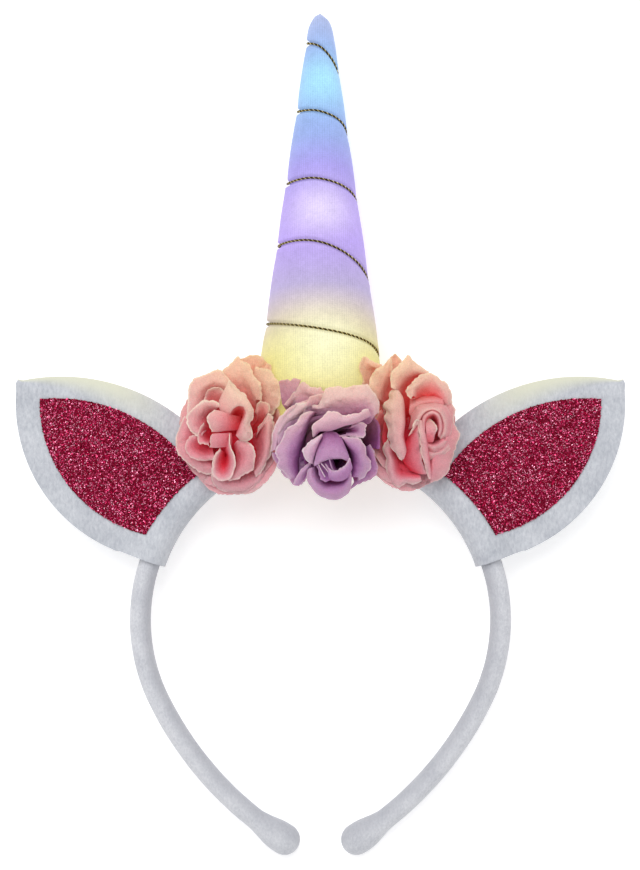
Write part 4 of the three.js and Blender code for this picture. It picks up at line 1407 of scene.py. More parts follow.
# %% The middle rose
MIDDLE_ROSE = {
    "name": "rose_middle",
    "finish": LILAC,
    "slot": "rose_lilac",
    "foot": (-0.8, 62.9, 17.9),
    "faces": (0.17, -0.37, 0.91),
    "under_petals": {
        "outer": [
            (62, 15, 11, -3, 0.3, 0.05, 1.2),
            (30, 14, 9, -3, 0.3, 0.05, 1),
            (145, 13, 10, -4, 0.4, 0.06, 1.2),
            (184, 12, 10, -4, 0.4, 0.08, 1.2),
            (224, 12, 9, -3, 0.4, 0.1, 0.8),
            (326, 15, 10, -3, 0.3, 0.05, 1.2),
            (355, 13, 10, -3, 0.4, 0.1, 1.2),
            (286, 14, 11, -2, 0.5, 0.15, 0.8),
        ],
        "middle": [
            (100, 8, 7, -3, 0.6, 0.1, 0.8),
            (345, 10, 8, -3, 0.5, 0.12, 1),
            (30, 8, 8, -3, 0.5, 0.1, 1),
            (215, 8, 8, -4, 0.5, 0.15, 0.8),
            (290, 10, 8, -3, 0.6, 0.15, 1),
        ],
    },
    "shaped_petals": {
        "outer": [
            ((0.55, 0.4),
             [(-14, 81.5, 15), (-11.3, 81.8, 15.5), (-8.6, 81.8, 15.5), (-5.9, 81.5, 15.5)],
             [(-13, 73.8, 13), (-11, 73.8, 13), (-8.9, 74.4, 13), (-7.3, 75.1, 13)]),
            ((0.8, 0.75, 0.35),
             [(-12.3, 73.4, 16), (-10.6, 75.7, 16.5), (-8.2, 78.4, 17), (-6.5, 80.6, 17.5),
              (-4.9, 80.4, 18.5), (-2.5, 79.4, 19.5), (-0.2, 78.6, 20), (2.6, 77.6, 20)],
             [(-11.3, 73.1, 16), (-9.6, 74.7, 16.5), (-7.6, 76.7, 17), (-5.5, 78.1, 18.5),
              (-2.8, 77, 20), (0.5, 75, 20)],
             [(-11, 72.1, 14), (-8.9, 73.1, 14.5), (-6.9, 73.7, 15), (-4.2, 73.7, 15),
              (-0.5, 72.7, 15)]),
            ((1, 0.95, 0.65),
             [(-3.3, 74.6, 24), (-5.8, 74, 24), (-8.2, 73.3, 23.5), (-10.9, 72, 22.5),
              (-13.2, 69.7, 21.5), (-14.9, 67, 20.5), (-15.9, 64, 19.5), (-16.3, 61, 19),
              (-16.3, 57.9, 18.5)],
             [(-3.5, 73.3, 24.5), (-5.8, 72.3, 25), (-7.8, 71.1, 25), (-9.8, 69.6, 24.5),
              (-11.8, 67.6, 23.5), (-13.5, 65, 22), (-14.6, 62, 21), (-15.2, 58.3, 20)],
             [(-3.5, 71.3, 22), (-5.8, 70, 22), (-7.9, 68, 21.5), (-10.2, 66, 20.5),
              (-11.9, 64, 19.5), (-12.9, 61.3, 18.5), (-13.6, 58.3, 18)]),
            ((1, 0.95, 0.6, 0.45),
             [(-2.8, 74, 24), (-0.8, 73.3, 24.5), (0.2, 75.3, 25), (1.2, 77.3, 25.5),
              (2.8, 79.1, 26), (5.5, 79.3, 26.5), (8.5, 78.9, 27), (10.8, 79.6, 27.5),
              (13.1, 79.6, 27.5), (15.4, 79.9, 27), (16.8, 78.9, 26.5), (18.1, 76.6, 25.5),
              (19.2, 75, 24.5), (19.8, 73, 23.5), (19.2, 70.6, 23)],
             [(-2.8, 73, 24.5), (-0.8, 72.3, 25), (1.2, 73.3, 26.5), (3.5, 74.9, 28),
              (6.1, 75.6, 28.5), (9.1, 75.9, 28.5), (12.1, 76.2, 29), (14.8, 76.2, 29),
              (16.4, 74.9, 28), (17.8, 72.9, 27), (18.1, 70, 25)],
             [(-2.8, 72, 24), (-0.2, 72, 25), (3.2, 72.3, 26.5), (6.5, 72.6, 27),
              (9.8, 72.9, 27.5), (12.4, 72.9, 27.8), (14.4, 72.9, 27.8), (16.1, 71.3, 26.5),
              (17.2, 68.3, 24)],
             [(-2.8, 71.3, 23), (-0.2, 71.1, 24), (3.2, 71.1, 25.5), (6.5, 70.6, 26),
              (9.8, 70.3, 26.3), (13.1, 70.6, 26.5), (15.1, 70.6, 26.5), (16.5, 67.3, 23)]),
            ((0.85, 0.55, 0.35),
             [(16.6, 60.3, 20), (17.9, 57.6, 20), (18.6, 54.6, 19.5), (19.3, 51.6, 19),
              (18.3, 49.6, 18.5), (15.3, 47.9, 18), (12.2, 46.5, 18), (9.9, 45.2, 18)],
             [(15.6, 59.6, 20), (16.6, 57.3, 20), (17.2, 54.6, 20), (16.9, 51.9, 19.5),
              (14.6, 49.6, 19), (11.2, 47.5, 19)],
             [(13.9, 58.9, 18), (14.9, 56.6, 18), (15.3, 53.9, 18), (13.9, 51.6, 17.5),
              (10.6, 49.5, 17.5)]),
            # A petal at the back on the right, painted dark as shade.
            ((0.35, 0.2, 0.1),
             [(15.6, 71.7, 18), (17.9, 69.7, 18), (19.6, 66.3, 18), (20, 62.6, 18),
              (19.6, 58.6, 18)],
             [(13.9, 69.7, 18.5), (15.6, 67, 18.5), (16.6, 64.3, 18.5), (16.6, 61.6, 18.5),
              (16.3, 58.9, 18.5)],
             [(11.9, 68.3, 17), (12.6, 65.7, 17), (13.3, 62.3, 17), (13.3, 58.9, 17)]),
            ((0.85, 0.55, 0.35),
             [(-16.3, 57.6, 16.5), (-15.6, 54.9, 16.5), (-13.9, 52.5, 16.5), (-12.6, 50.5, 16.5),
              (-10.3, 48.5, 16.5), (-9.2, 46.8, 16.5), (-7.2, 46.5, 17), (-5.5, 47.5, 17.5),
              (-4.2, 49.5, 18)],
             [(-14.6, 57.3, 17.5), (-13.6, 54.6, 17.5), (-11.6, 52.2, 18), (-9.6, 50.2, 18),
              (-7.6, 48.5, 18), (-5.2, 50.6, 18.5)],
             [(-12.3, 56.6, 15.5), (-11.3, 54.2, 15.5), (-9.6, 52.2, 15.5), (-7.6, 50.9, 16),
              (-5.5, 51.9, 16.5)]),
        ],
        "middle": [
            ((1, 0.9, 0.45, 0.05),
             [(-3.5, 71.1, 26.5), (-5.8, 70.3, 26.5), (-7.2, 68.6, 26.5), (-8.2, 67, 26),
              (-10.5, 66, 25.5), (-11.8, 64.6, 24.5), (-12.5, 62.3, 23.5), (-13.9, 60.3, 22.5),
              (-15, 58.3, 22), (-14.9, 56.6, 21.5), (-13.7, 54.9, 21), (-14.2, 52.9, 20),
              (-12.2, 50.9, 19.5), (-10.2, 48.6, 19)],
             [(-2.8, 71.1, 26.5), (-4.5, 69.6, 27), (-5.8, 67.6, 27), (-7.2, 65.6, 26.5),
              (-9.2, 64, 26), (-10.2, 62, 25), (-11.2, 59.6, 24), (-12.2, 57.6, 23.5),
              (-11.5, 55.3, 22.5), (-11.5, 52.9, 21.5), (-8.9, 48.9, 20)],
             [(-1.8, 71, 25.5), (-3.5, 69, 26), (-4.5, 66.6, 25.5), (-5.5, 64, 25),
              (-6.5, 61.3, 24), (-7.5, 58.6, 23), (-8.2, 56, 22), (-8.5, 52.9, 21),
              (-7.9, 49.2, 19.5)],
             [(-0.8, 70.3, 19), (-2.5, 68, 18.5), (-3.9, 65, 18), (-4.9, 61.6, 17.5),
              (-6.2, 58.3, 17.5), (-6.9, 54.9, 17), (-7.2, 50.5, 16.5)]),
            ((1, 0.95, 0.75, 0.2),
             [(-2.3, 62.6, 28.5), (-2.8, 65, 29.5), (-2.2, 66.9, 31), (-0.8, 68.1, 32),
              (0.8, 69.1, 33), (2.5, 70.6, 34), (4.1, 70.9, 34.5), (5.8, 70.6, 34.5),
              (7.4, 69.6, 34.5), (9.4, 69.9, 34.5), (11.4, 70.4, 34), (13, 70.6, 33.5),
              (14, 71.6, 33), (15.7, 72.1, 32)],
             [(-1.8, 63, 30), (-1.7, 65.3, 32), (-0.5, 66.6, 34), (1.5, 67.6, 35.5),
              (3.8, 68.6, 36.5), (5.7, 68.6, 36.5), (7.4, 67.9, 36.5), (9.7, 68.4, 36),
              (12, 69.1, 35), (14, 70.1, 34), (16, 71.2, 32.5)],
             [(-1.3, 63.5, 29), (-0.3, 64.6, 31), (1.5, 64.8, 32.5), (3.5, 65, 33),
              (5.4, 65.6, 33.5), (7.7, 66.4, 33.5), (10.1, 66.9, 33), (12.4, 67.6, 32),
              (14.4, 68.6, 31), (16.7, 69.9, 30)],
             [(-0.8, 64, 25), (0.2, 64.6, 26), (1.8, 65, 27), (3.8, 65.3, 28), (6.5, 66.3, 28.5),
              (9.8, 67.3, 28), (13.1, 68.3, 27), (16.5, 69.6, 26)]),
            ((0.9, 0.75, 0.3),
             [(10.4, 66.9, 31), (12.7, 67.6, 30.5), (15.1, 66.6, 29.5), (14.9, 64.6, 29),
              (14.4, 62.8, 28.5), (11.8, 62.6, 29.5), (9.1, 62.8, 30.5), (6.4, 63, 31.5)],
             [(10.1, 65.9, 31), (11.7, 66.3, 30.5), (13.1, 65.6, 30), (12.8, 64.3, 29.5),
              (10.8, 63.8, 30), (8.4, 63.6, 31)],
             [(8.8, 65.3, 28), (9.8, 65.3, 28), (10.5, 64.6, 28), (9.8, 64.3, 28),
              (8.5, 64.1, 28.5)]),
            ((0.95, 0.8, 0.5, 0.1),
             [(6.8, 63, 31), (9.8, 62.5, 31), (12.4, 62.3, 30), (14.1, 60.6, 29), (15.1, 59, 28),
              (15.1, 56.7, 27), (16.5, 54.7, 26), (16.6, 52.3, 25), (15.2, 51, 24),
              (14.5, 49.3, 23.5), (12.5, 48.3, 23)],
             [(7.1, 62.5, 31), (9.7, 61.3, 31.5), (11.7, 60.3, 31), (13.1, 58.7, 30.5),
              (13.7, 56.3, 29.5), (14.4, 54, 28.5), (14.1, 52, 27), (12.5, 49.3, 25)],
             [(7.4, 62, 30), (9.1, 60, 30.5), (10.8, 58.3, 30), (11.8, 56.3, 29), (12.1, 54, 28),
              (11.8, 51.7, 26.5), (10.8, 49.3, 25)],
             [(7.5, 61.3, 26), (9.1, 59, 26), (10.1, 56.6, 25.5), (10.5, 54, 25), (10.2, 51.6, 24),
              (9.8, 49.3, 23)]),
            ((0.95, 0.85, 0.6, 0.2),
             [(-4.2, 51.7, 27), (-4.3, 48.3, 26), (-2.8, 45.7, 25), (-0.8, 43.5, 24.5),
              (2.2, 42, 24), (5.5, 41.8, 24), (8.2, 43, 24.5), (9.8, 45.3, 25.5),
              (10.3, 48.3, 26.5), (9.8, 52.3, 28)],
             [(-3.2, 52.4, 29), (-3.2, 49.4, 29), (-1.8, 46.7, 28.5), (0.2, 44.7, 28),
              (2.8, 43.7, 28), (5.5, 43.7, 28), (7.8, 45.1, 28.5), (9.1, 47.1, 29),
              (9.8, 49.7, 29), (9.4, 52.7, 29)],
             [(-1.8, 52.7, 27), (-1.5, 50, 27), (-0.2, 47.7, 27), (1.8, 46, 27.5), (4.8, 46, 28),
              (7.5, 47, 28.5), (8.8, 49.4, 28.5), (9.1, 52.4, 28.5)],
             [(-0.8, 52.6, 22.5), (-0.2, 50.3, 22.5), (1.2, 48.6, 22.5), (3.2, 48.3, 23),
              (5.8, 48.3, 23.5), (7.8, 49.6, 24), (8.5, 52.3, 24)]),
            ((0.9, 0.8, 0.3),
             [(-3.2, 54.3, 27), (-5.8, 52.3, 26), (-7.2, 50.6, 25), (-8.5, 48.3, 23.5),
              (-9.2, 46.6, 22)],
             [(-3.2, 53.7, 27.5), (-4.8, 52, 27), (-6.2, 50.3, 26), (-7.2, 48.3, 24.5),
              (-7.5, 46.6, 22.5)],
             [(-3.5, 52.3, 23), (-4.2, 51.3, 22.5), (-4.8, 49.9, 22), (-5.5, 48.6, 21)]),
        ],
        "inner": [
            ((1, 1, 0.8, 0.2),
             [(0.5, 63.6, 31.5), (-1.8, 62.3, 31.5), (-3.8, 61, 31), (-5.1, 59.3, 30.5),
              (-5.8, 57.7, 30), (-5, 55.7, 29.5), (-3.5, 54, 29)],
             [(0.5, 63.5, 32.5), (-1.2, 61.8, 33), (-2.8, 60, 33), (-4.1, 58.3, 32.5),
              (-4.1, 56.7, 32), (-3.2, 54, 30)],
             [(0.5, 63, 32), (-0.5, 61.3, 32.5), (-1.5, 59.3, 32.5), (-2.2, 57.4, 32),
              (-2.5, 55.7, 31), (-2.5, 53.7, 29.5)],
             [(0.5, 62.3, 28), (-0.5, 60.3, 28), (-1.2, 58.3, 28), (-1.8, 56.3, 28),
              (-2.2, 54, 27)]),
            ((0.3, 0.55, 0.7, 0.75),
             [(0.5, 63.6, 29), (2.5, 64.6, 29.5), (4.5, 64.3, 30), (6.5, 63, 30)],
             [(-0.5, 60.3, 30.5), (1.5, 61.3, 32), (3.8, 61.6, 32.5), (5.8, 61.3, 32),
              (7.8, 60.3, 30.5)],
             [(-1.5, 56.7, 31), (0.5, 58, 32.5), (2.8, 58.7, 33.5), (5.4, 58.7, 33.5),
              (7.8, 57.7, 32), (9.4, 56, 30.5)],
             [(-2.2, 53, 31), (-0.2, 54, 32), (2.5, 55.2, 33), (5.1, 55.5, 33.5),
              (7.4, 55.4, 32.5), (9.8, 54, 30.5)]),
        ],
        "heart": [
            ((0.5, 0.4),
             [(-1.8, 53.4, 30.5), (-0.5, 50.4, 30.5), (1.5, 47.7, 30)],
             [(2.8, 55, 31), (3.8, 52.4, 31), (5.1, 49.1, 30.5)]),
            ((0.95, 0.2),
             [(-0.7, 53.6, 32), (0.2, 51.7, 32.5), (1.5, 49.4, 32)],
             [(-0.3, 53.3, 27), (0.5, 51.7, 27), (1.8, 49.7, 27)]),
            ((0.95, 0.2),
             [(0.2, 53.9, 33), (2, 51.8, 33.5), (3.8, 49.1, 32.5)],
             [(0.5, 53.7, 27), (2.3, 51.7, 27), (4.1, 49.3, 27)]),
            ((0.55, 0.15),
             [(2.8, 56, 33), (3.1, 54.4, 33), (3.8, 52.4, 33), (4.8, 51.1, 32.5)],
             [(4.1, 55.3, 27), (4.5, 54, 27), (4.8, 53, 27), (5.5, 51.7, 27)]),
            ((0.85, 0.65, 0.55, 0.3),
             [(1.5, 54, 32), (3.1, 52.1, 33), (5.4, 51.8, 34), (7.7, 53.1, 34), (9.7, 55.5, 33)],
             [(2.5, 50.7, 32.5), (4.1, 49.8, 33.5), (6.4, 50.1, 34), (8.4, 51.8, 33.5),
              (10.1, 54, 32)],
             [(2.8, 49.1, 31), (4.8, 48.3, 31.5), (7.1, 48.4, 31.5), (9.1, 49.7, 31.5),
              (10.4, 52.4, 30.5)],
             [(3.5, 48.3, 27), (5.1, 48, 27), (7.1, 48.3, 27), (8.8, 49.7, 27), (9.8, 52, 27)]),
        ],
    },
}

# %% The right rose
RIGHT_ROSE = {
    "name": "rose_right",
    "finish": PINK,
    "slot": "rose_pink",
    "foot": (27.9, 60.1, 5.8),
    "faces": (0.42, 0.3, 0.86),
    "under_petals": {
        "outer": [
            (112, 24, 8, -1, 0.3, 0.05, 0.8),
            (90, 25, 9, -1, 0.3, 0.05, 1),
            (70, 22.5, 11, -1, 0.3, 0.06, 1.2),
            (49, 21.5, 10, -0.5, 0.3, 0.05, 1.2),
            (26, 17.5, 10, -1, 0.4, 0.08, 1.2),
            (358, 16, 11, -1, 0.4, 0.08, 1.2),
            (320, 15, 10, -1, 0.4, 0.1, 1.2),
            (284, 15, 11, -1.5, 0.4, 0.08, 1.2),
            (250, 16.5, 11, -1.5, 0.3, 0.06, 1.2),
            (220, 16, 10, -1, 0.4, 0.08, 1.2),
            (180, 13.5, 11, -1.5, 0.4, 0.08, 0.8),
        ],
        "middle": [
            (84, 13, 9, -2, 0.5, 0.12, 1),
            (44, 12, 9, -2, 0.5, 0.12, 1),
            (2, 11, 9, -2, 0.5, 0.12, 1),
            (316, 10, 8, -2, 0.5, 0.15, 1),
            (268, 10, 8, -2, 0.5, 0.15, 1),
            (150, 9, 9, -2, 0.5, 0.12, 1),
        ],
    },
    "shaped_petals": {
        "outer": [
            ((0.95, 0.85, 0.7),
             [(13, 80.2, 12), (12.5, 83.2, 12), (12, 85.9, 12), (13, 87.9, 12.5), (14, 89.6, 12.5),
              (15.7, 89.6, 12), (17.4, 88.3, 12), (19.8, 87.3, 11.5), (21.5, 86.6, 11)],
             [(15, 79.5, 11.5), (14.7, 82.5, 12), (14.7, 85.2, 12), (15.7, 86.9, 12),
              (17.4, 86.6, 12), (20.1, 85.6, 11)],
             [(17.4, 79.2, 9), (17.4, 81.6, 9), (17.8, 84, 9), (19.1, 85, 9), (20.5, 85, 9)]),
            ((0.9, 0.7),
             [(23.5, 89, 12), (24.5, 90.5, 12), (25.8, 90.5, 12), (26.8, 89, 12), (27.5, 87.4, 12),
              (28.2, 86.9, 12)],
             [(24.2, 85.6, 11), (25.2, 85.9, 11), (26.2, 85.9, 11), (27.9, 85.6, 11)]),
            ((1, 0.9, 0.65, 0.3),
             [(17, 77.1, 15.5), (16.6, 80.1, 16), (17, 82.8, 16), (18.6, 85.1, 16.5),
              (21.3, 86.8, 16.5), (22.7, 88.5, 16), (23.7, 88.9, 16), (24.2, 86.5, 16),
              (23.7, 83.8, 16)],
             [(18.3, 76.1, 16), (18.3, 79.1, 16.5), (19, 81.8, 17), (20.7, 83.8, 17),
              (22.3, 85.5, 17), (23.2, 85.8, 16.5), (23.5, 83.5, 16)],
             [(20, 75.1, 15), (20.4, 78.1, 15.5), (21.3, 80.8, 16), (22.7, 82.8, 16),
              (23.4, 82.8, 15.5)],
             [(21.1, 74.4, 12), (21.8, 77.1, 12), (22.8, 79.8, 12), (23.5, 81.9, 12)]),
            ((0.7, 0.45, 0.3),
             [(20.5, 72.1, 11), (18.8, 69.7, 11), (17.7, 66.7, 11), (17.4, 63.6, 11),
              (16.7, 61.6, 11), (18.1, 59.2, 11), (18.8, 56.5, 11), (19.1, 53.8, 11),
              (19.8, 51.1, 11), (22.1, 49.8, 11)],
             [(21.1, 70.7, 11.5), (19.8, 68.4, 11.5), (19.1, 65, 11.5), (19.1, 61.6, 11.5),
              (20.1, 58.2, 11.5), (20.8, 54.9, 11.5), (22.1, 51.5, 11.5)],
             [(22.9, 68.4, 9.5), (21.8, 65, 9.5), (21.8, 61.6, 9.5), (22.5, 58.2, 9.5),
              (23.5, 54.2, 9.5)]),
            ((0.95, 0.85, 0.75, 0.5),
             [(44, 74.4, 14), (45.3, 71.4, 14), (44.8, 67.7, 14), (46, 65.3, 14), (47, 63.6, 14),
              (46, 60.9, 14), (45.3, 58.2, 14), (44.3, 55.5, 14), (43.3, 52.2, 14), (42, 49.5, 14),
              (39.3, 48.1, 14), (36.9, 47.1, 14)],
             [(42.9, 73.7, 15), (43.6, 71, 15.5), (43.2, 67.7, 16), (43.9, 64.6, 16.5),
              (43.8, 62, 17), (43.2, 58.9, 17), (41.8, 55.9, 17), (40.5, 52.9, 17),
              (39.1, 50.5, 16.5), (37.2, 48.5, 16)],
             [(41.9, 72.4, 16), (42.2, 69.7, 17), (42.1, 66.3, 18), (42.1, 63.3, 18.5),
              (41.1, 60.3, 19), (39.4, 58.3, 19), (38, 55.6, 19), (37.4, 52.6, 18.5),
              (36.8, 49.5, 17)],
             [(40.6, 71.1, 13), (40.6, 67, 14), (40.2, 63, 14.5), (38.9, 59.6, 15),
              (37.2, 56.6, 15), (36.5, 52.9, 14.5)]),
            ((1, 0.9, 0.4, 0.2),
             [(22.7, 61.6, 17), (21.3, 59.6, 17), (21.3, 57.6, 16.5), (22.3, 55.2, 16.5),
              (22.2, 52.5, 16), (22.7, 49.5, 15.5), (23.7, 47.2, 15.5), (26.1, 45.8, 15.5),
              (27.8, 46.5, 15.5), (29.1, 47.2, 15.5), (31.5, 46.8, 15.5), (34.1, 47.8, 15.5)],
             [(23.3, 60.3, 18), (22.6, 57.9, 18), (23.7, 55.2, 18), (23.8, 52.6, 17.5),
              (24.3, 49.9, 17), (26, 47.8, 17), (28.4, 48.2, 17), (31.1, 48.2, 17),
              (33.8, 48.5, 16.5)],
             [(24, 58.3, 16.5), (25, 55.6, 16), (25.6, 52.9, 15.5), (26.4, 50.5, 15.5),
              (28.4, 49.8, 15.5), (30.8, 49.5, 15.5), (33.5, 49.5, 15.5)],
             [(25.5, 57.6, 12), (26.8, 54.9, 12), (27.5, 52.5, 12), (29.2, 51.5, 12),
              (31.9, 50.8, 12)]),
        ],
        "middle": [
            ((1, 0.95, 0.5, 0.1),
             [(23.8, 79, 19.5), (23.6, 82.4, 20), (24.3, 84.7, 20), (26, 86.4, 19.5),
              (27.6, 87.8, 19), (28.7, 89.6, 18.5), (29.7, 90.1, 18), (31, 88.3, 18),
              (33.4, 86.5, 17.5), (36.4, 84.5, 17)],
             [(24.6, 78.7, 20), (24.9, 81.4, 20.5), (25.9, 83.4, 21), (27.6, 84.7, 21),
              (29.3, 86.1, 20.5), (31, 86.1, 19.5), (33.4, 85.1, 18.5), (36.1, 83.8, 17)],
             [(26, 78.1, 18), (26.7, 80.1, 18.5), (28, 81.7, 18.5), (29.7, 83.1, 18.5),
              (31.7, 83.8, 18), (34.8, 83.5, 16.5)],
             [(27.5, 77.1, 13), (28.2, 79.2, 13), (29.5, 80.8, 13), (31.5, 82.5, 13),
              (33.9, 82.9, 13)]),
            ((1, 0.95, 0.5, 0.15),
             [(30.3, 75.4, 19.5), (29.1, 76.7, 20), (28.8, 78.7, 20), (30.3, 80.4, 19.5),
              (32, 82.1, 19), (33.7, 83.4, 18.5), (36.8, 84.1, 17.5), (39.8, 82.4, 17),
              (42.5, 80.4, 16.5), (43.9, 77.4, 16), (44.2, 74.1, 15.5)],
             [(31, 76.4, 20), (30.9, 78.4, 20.5), (32.6, 80.4, 20), (34.7, 81.7, 19),
              (37.1, 82.1, 18.5), (39.4, 80.4, 18.5), (41.4, 78.4, 18), (42.5, 76.1, 17.5),
              (42.5, 73.4, 16.5)],
             [(31.7, 76, 18.5), (32.7, 78.1, 18), (34.7, 79.1, 17.5), (37.1, 79.1, 17),
              (39.1, 78.1, 17), (40.2, 76.1, 16.5), (40.9, 73.7, 16)],
             [(32.1, 75.1, 15), (33.9, 75.8, 14), (35.9, 76.1, 14), (38.2, 76.1, 14),
              (39.6, 74.8, 14)]),
            ((0.4, 0.7, 0.75, 0.6),
             [(30.1, 75.1, 14.5), (32.9, 76.1, 13.5), (35.6, 76.6, 13.5), (38.3, 76.8, 13.5),
              (41.3, 76.1, 13.5)],
             [(30, 73.4, 18), (32.7, 74.4, 18.5), (35.4, 74.9, 18.5), (38.1, 75.2, 18.3),
              (41.1, 74.7, 17.8)],
             [(29.7, 71, 18), (32, 72.7, 18.5), (35, 73.7, 18.7), (38.1, 74, 18.5), (41.4, 73, 18)],
             [(30.4, 69, 16), (32.1, 70.7, 16), (34.1, 72, 16.5), (36.8, 72.7, 16.5),
              (40.2, 72.4, 16.5)]),
            ((1, 1, 0.85, 0.15),
             [(24, 78.4, 17.5), (23.3, 77.1, 18), (23.3, 75.4, 18), (21.5, 74, 18.5),
              (21.1, 72.9, 18.5), (22.3, 71, 18.5), (21.3, 69, 19), (22.1, 67, 19), (22.6, 65, 19),
              (22.3, 63, 19.5), (23.3, 61, 19.5), (23.4, 58.9, 20), (25.2, 57.4, 21),
              (26.2, 55.6, 21.5), (27.3, 54.9, 21)],
             [(25, 78.4, 19.5), (24.9, 75.7, 21), (23.9, 73, 22), (24.2, 70.3, 22.5),
              (24.2, 67.6, 22.5), (24.9, 65, 23), (24.8, 62.3, 23.5), (25.5, 59.6, 23.5),
              (26.5, 57.3, 23), (27.4, 55.3, 22)],
             [(26.3, 78, 19.5), (27.3, 75.7, 21), (27.4, 71.7, 22), (27.7, 67, 23),
              (27.2, 63, 23.5), (27.8, 60, 23.5), (28.4, 57.6, 23), (27.7, 55.3, 22)],
             [(26.7, 77.1, 16), (28.1, 73.4, 16.5), (28.4, 68.3, 16.5), (28.1, 63, 16.5),
              (28.7, 58.9, 16.5), (27.7, 56.2, 16)]),
            ((0.75, 0.5, 0.1),
             [(32.9, 67, 21), (32.9, 64, 21), (33.3, 60.6, 20.5), (33.7, 57.3, 19.5),
              (34.4, 53.9, 18.5), (35.8, 50.2, 17)],
             [(31.3, 64.6, 19), (30.7, 61.6, 19), (30.3, 58.3, 18.5), (31.1, 55.2, 17.5),
              (32.1, 52.6, 17), (33.8, 50.2, 16)],
             [(29.7, 63, 16.5), (28.4, 60.3, 16.5), (27.7, 57.2, 16), (28.1, 54.2, 15),
              (30.5, 51.2, 14.5)]),
        ],
        "inner": [
            ((0.95, 1, 0.75, 0.3),
             [(32.8, 68.3, 21.5), (32.7, 65, 22), (33.2, 61.6, 22), (33.6, 58.3, 21.5),
              (34.3, 54.9, 20.5), (35.4, 51.6, 19), (36.4, 48.5, 17)],
             [(33.4, 68.3, 22.5), (33.7, 64.6, 23), (34.2, 61.3, 23), (34.7, 58, 22.5),
              (35.3, 54.6, 21.5), (36, 51.6, 19.5), (36.8, 48.5, 17.5)],
             [(34.1, 68, 22), (34.9, 64.3, 22.5), (35.4, 60.6, 22.5), (35.7, 57.6, 22),
              (36.1, 54.6, 21), (36.7, 51.9, 19.5), (37.1, 48.9, 17.5)],
             [(34.8, 66.7, 17), (35.8, 63.3, 17), (36.4, 59.6, 17), (36.8, 55.9, 17),
              (36.8, 52.2, 16)]),
            ((1, 0.8, 0.4),
             [(32.9, 68.3, 21.5), (31.8, 68.3, 21.5), (30.9, 66.6, 21), (30.3, 64.6, 20.5),
              (29.6, 63, 20)],
             [(32.9, 67.6, 21), (32.3, 67, 21), (31.6, 65.6, 20.5), (30.6, 64, 20)],
             [(33, 66.7, 18), (32.4, 65.3, 18), (31.4, 64, 18)]),
            ((0.7, 0.8, 1, 0.55, 0.1),
             [(29.7, 65, 16.5), (30.4, 69, 17.5), (31.7, 72, 18), (34.4, 73.5, 18.5),
              (37.4, 74, 18.5), (40.8, 73.4, 18), (43.1, 71, 17.5), (44, 67, 17),
              (43.5, 63.6, 17.5), (41.5, 61, 17.5)],
             [(31, 66, 19.8), (31.8, 69, 20.5), (32.9, 71, 21), (34.9, 72.3, 21.5),
              (37.3, 72.8, 21.5), (39.9, 72.2, 21.5), (41.8, 70, 21), (42.7, 67, 20),
              (42.2, 63.6, 19.5), (40.7, 61.6, 19)],
             [(32.3, 66.6, 21.5), (33.1, 69.3, 22), (34.7, 71.1, 22.5), (37.2, 72, 22.8),
              (39.4, 71.3, 22.5), (40.9, 69.3, 22), (41.6, 66.6, 21), (41.2, 64, 20.5),
              (40, 62.3, 20)],
             [(33, 66.6, 20.5), (33.6, 68.7, 21), (35.1, 70.7, 21.5), (37.2, 71.5, 22),
              (39.1, 70.8, 21.5), (40.5, 69, 21), (41, 66.3, 20), (40.7, 64, 19.5)],
             [(34.1, 66.3, 16), (34.8, 68.3, 16), (36.8, 70, 16.5), (38.8, 69.7, 16.5),
              (40.2, 67.3, 16), (40.2, 64.6, 16)]),
            ((0.75, 1, 0.7, 0.3),
             [(35.4, 58.3, 19), (37.7, 57.6, 19), (40.4, 58.3, 18.5), (42.8, 59.9, 17.5),
              (43.5, 62.3, 17)],
             [(35.6, 59.8, 21), (37.6, 59.1, 21), (40, 59.8, 20.5), (42, 61.3, 19.5)],
             [(35.6, 60.6, 20.5), (37.6, 60, 20.5), (39.5, 60.6, 20), (41, 62, 19.5)],
             [(36.1, 61.6, 17), (37.8, 61.3, 17), (39.5, 62, 17)]),
            ((0.75, 0.95, 0.7, 0.5),
             [(35.7, 54.9, 18.5), (38.4, 55.3, 18.3), (41.4, 56.6, 17.8), (43.5, 58.9, 17)],
             [(35.7, 57.1, 20), (38.3, 56.9, 19.7), (41, 57.9, 19.2), (43.1, 59.9, 18)],
             [(35.7, 57.9, 19.5), (38.4, 57.6, 19.2), (40.7, 58.6, 18.7), (42.4, 60.6, 18)],
             [(36.4, 58.9, 17), (38.5, 58.6, 17), (40.5, 59.3, 16.5)]),
        ],
        "heart": [
            ((0.5, 0.95, 0.45, 0.1),
             [(34.4, 62.6, 19), (33.8, 66, 19.5), (34, 69.3, 20), (35.5, 71, 20.5),
              (37.6, 71.5, 20.5), (39.7, 70.7, 20), (40.7, 68.3, 19.5), (40.9, 65.3, 19),
              (40, 62.3, 19)],
             [(34.7, 63, 22), (34.4, 66, 23), (34.5, 68.8, 23.5), (35.8, 70.3, 24),
              (37.5, 70.8, 24), (39.2, 69.8, 23.5), (39.9, 68, 23), (40.1, 65.3, 22.5),
              (39.4, 63, 22)],
             [(35.3, 63.3, 21), (35.1, 66, 22), (35.2, 68.3, 22.5), (36.2, 69.6, 22.5),
              (37.7, 70.1, 22.5), (38.9, 69, 22), (39.4, 67, 21.5), (39.3, 64, 21)],
             [(36.9, 64, 15), (36.9, 66.3, 15), (37.2, 68.3, 15), (38.2, 68, 15), (38.5, 66, 15)]),
            ((0.95, 0.8, 0.6, 0.5),
             [(35.2, 68.1, 22), (36.9, 68, 22.5), (38.2, 66.8, 22.5), (38.9, 65, 22.5)],
             [(35.2, 66, 23), (36.5, 66, 23.5), (37.5, 65, 23.5), (38.2, 63.6, 22.5)],
             [(35.4, 63.3, 22.5), (36.5, 63.3, 23), (37.4, 62.8, 22.5), (37.9, 62, 21.5)],
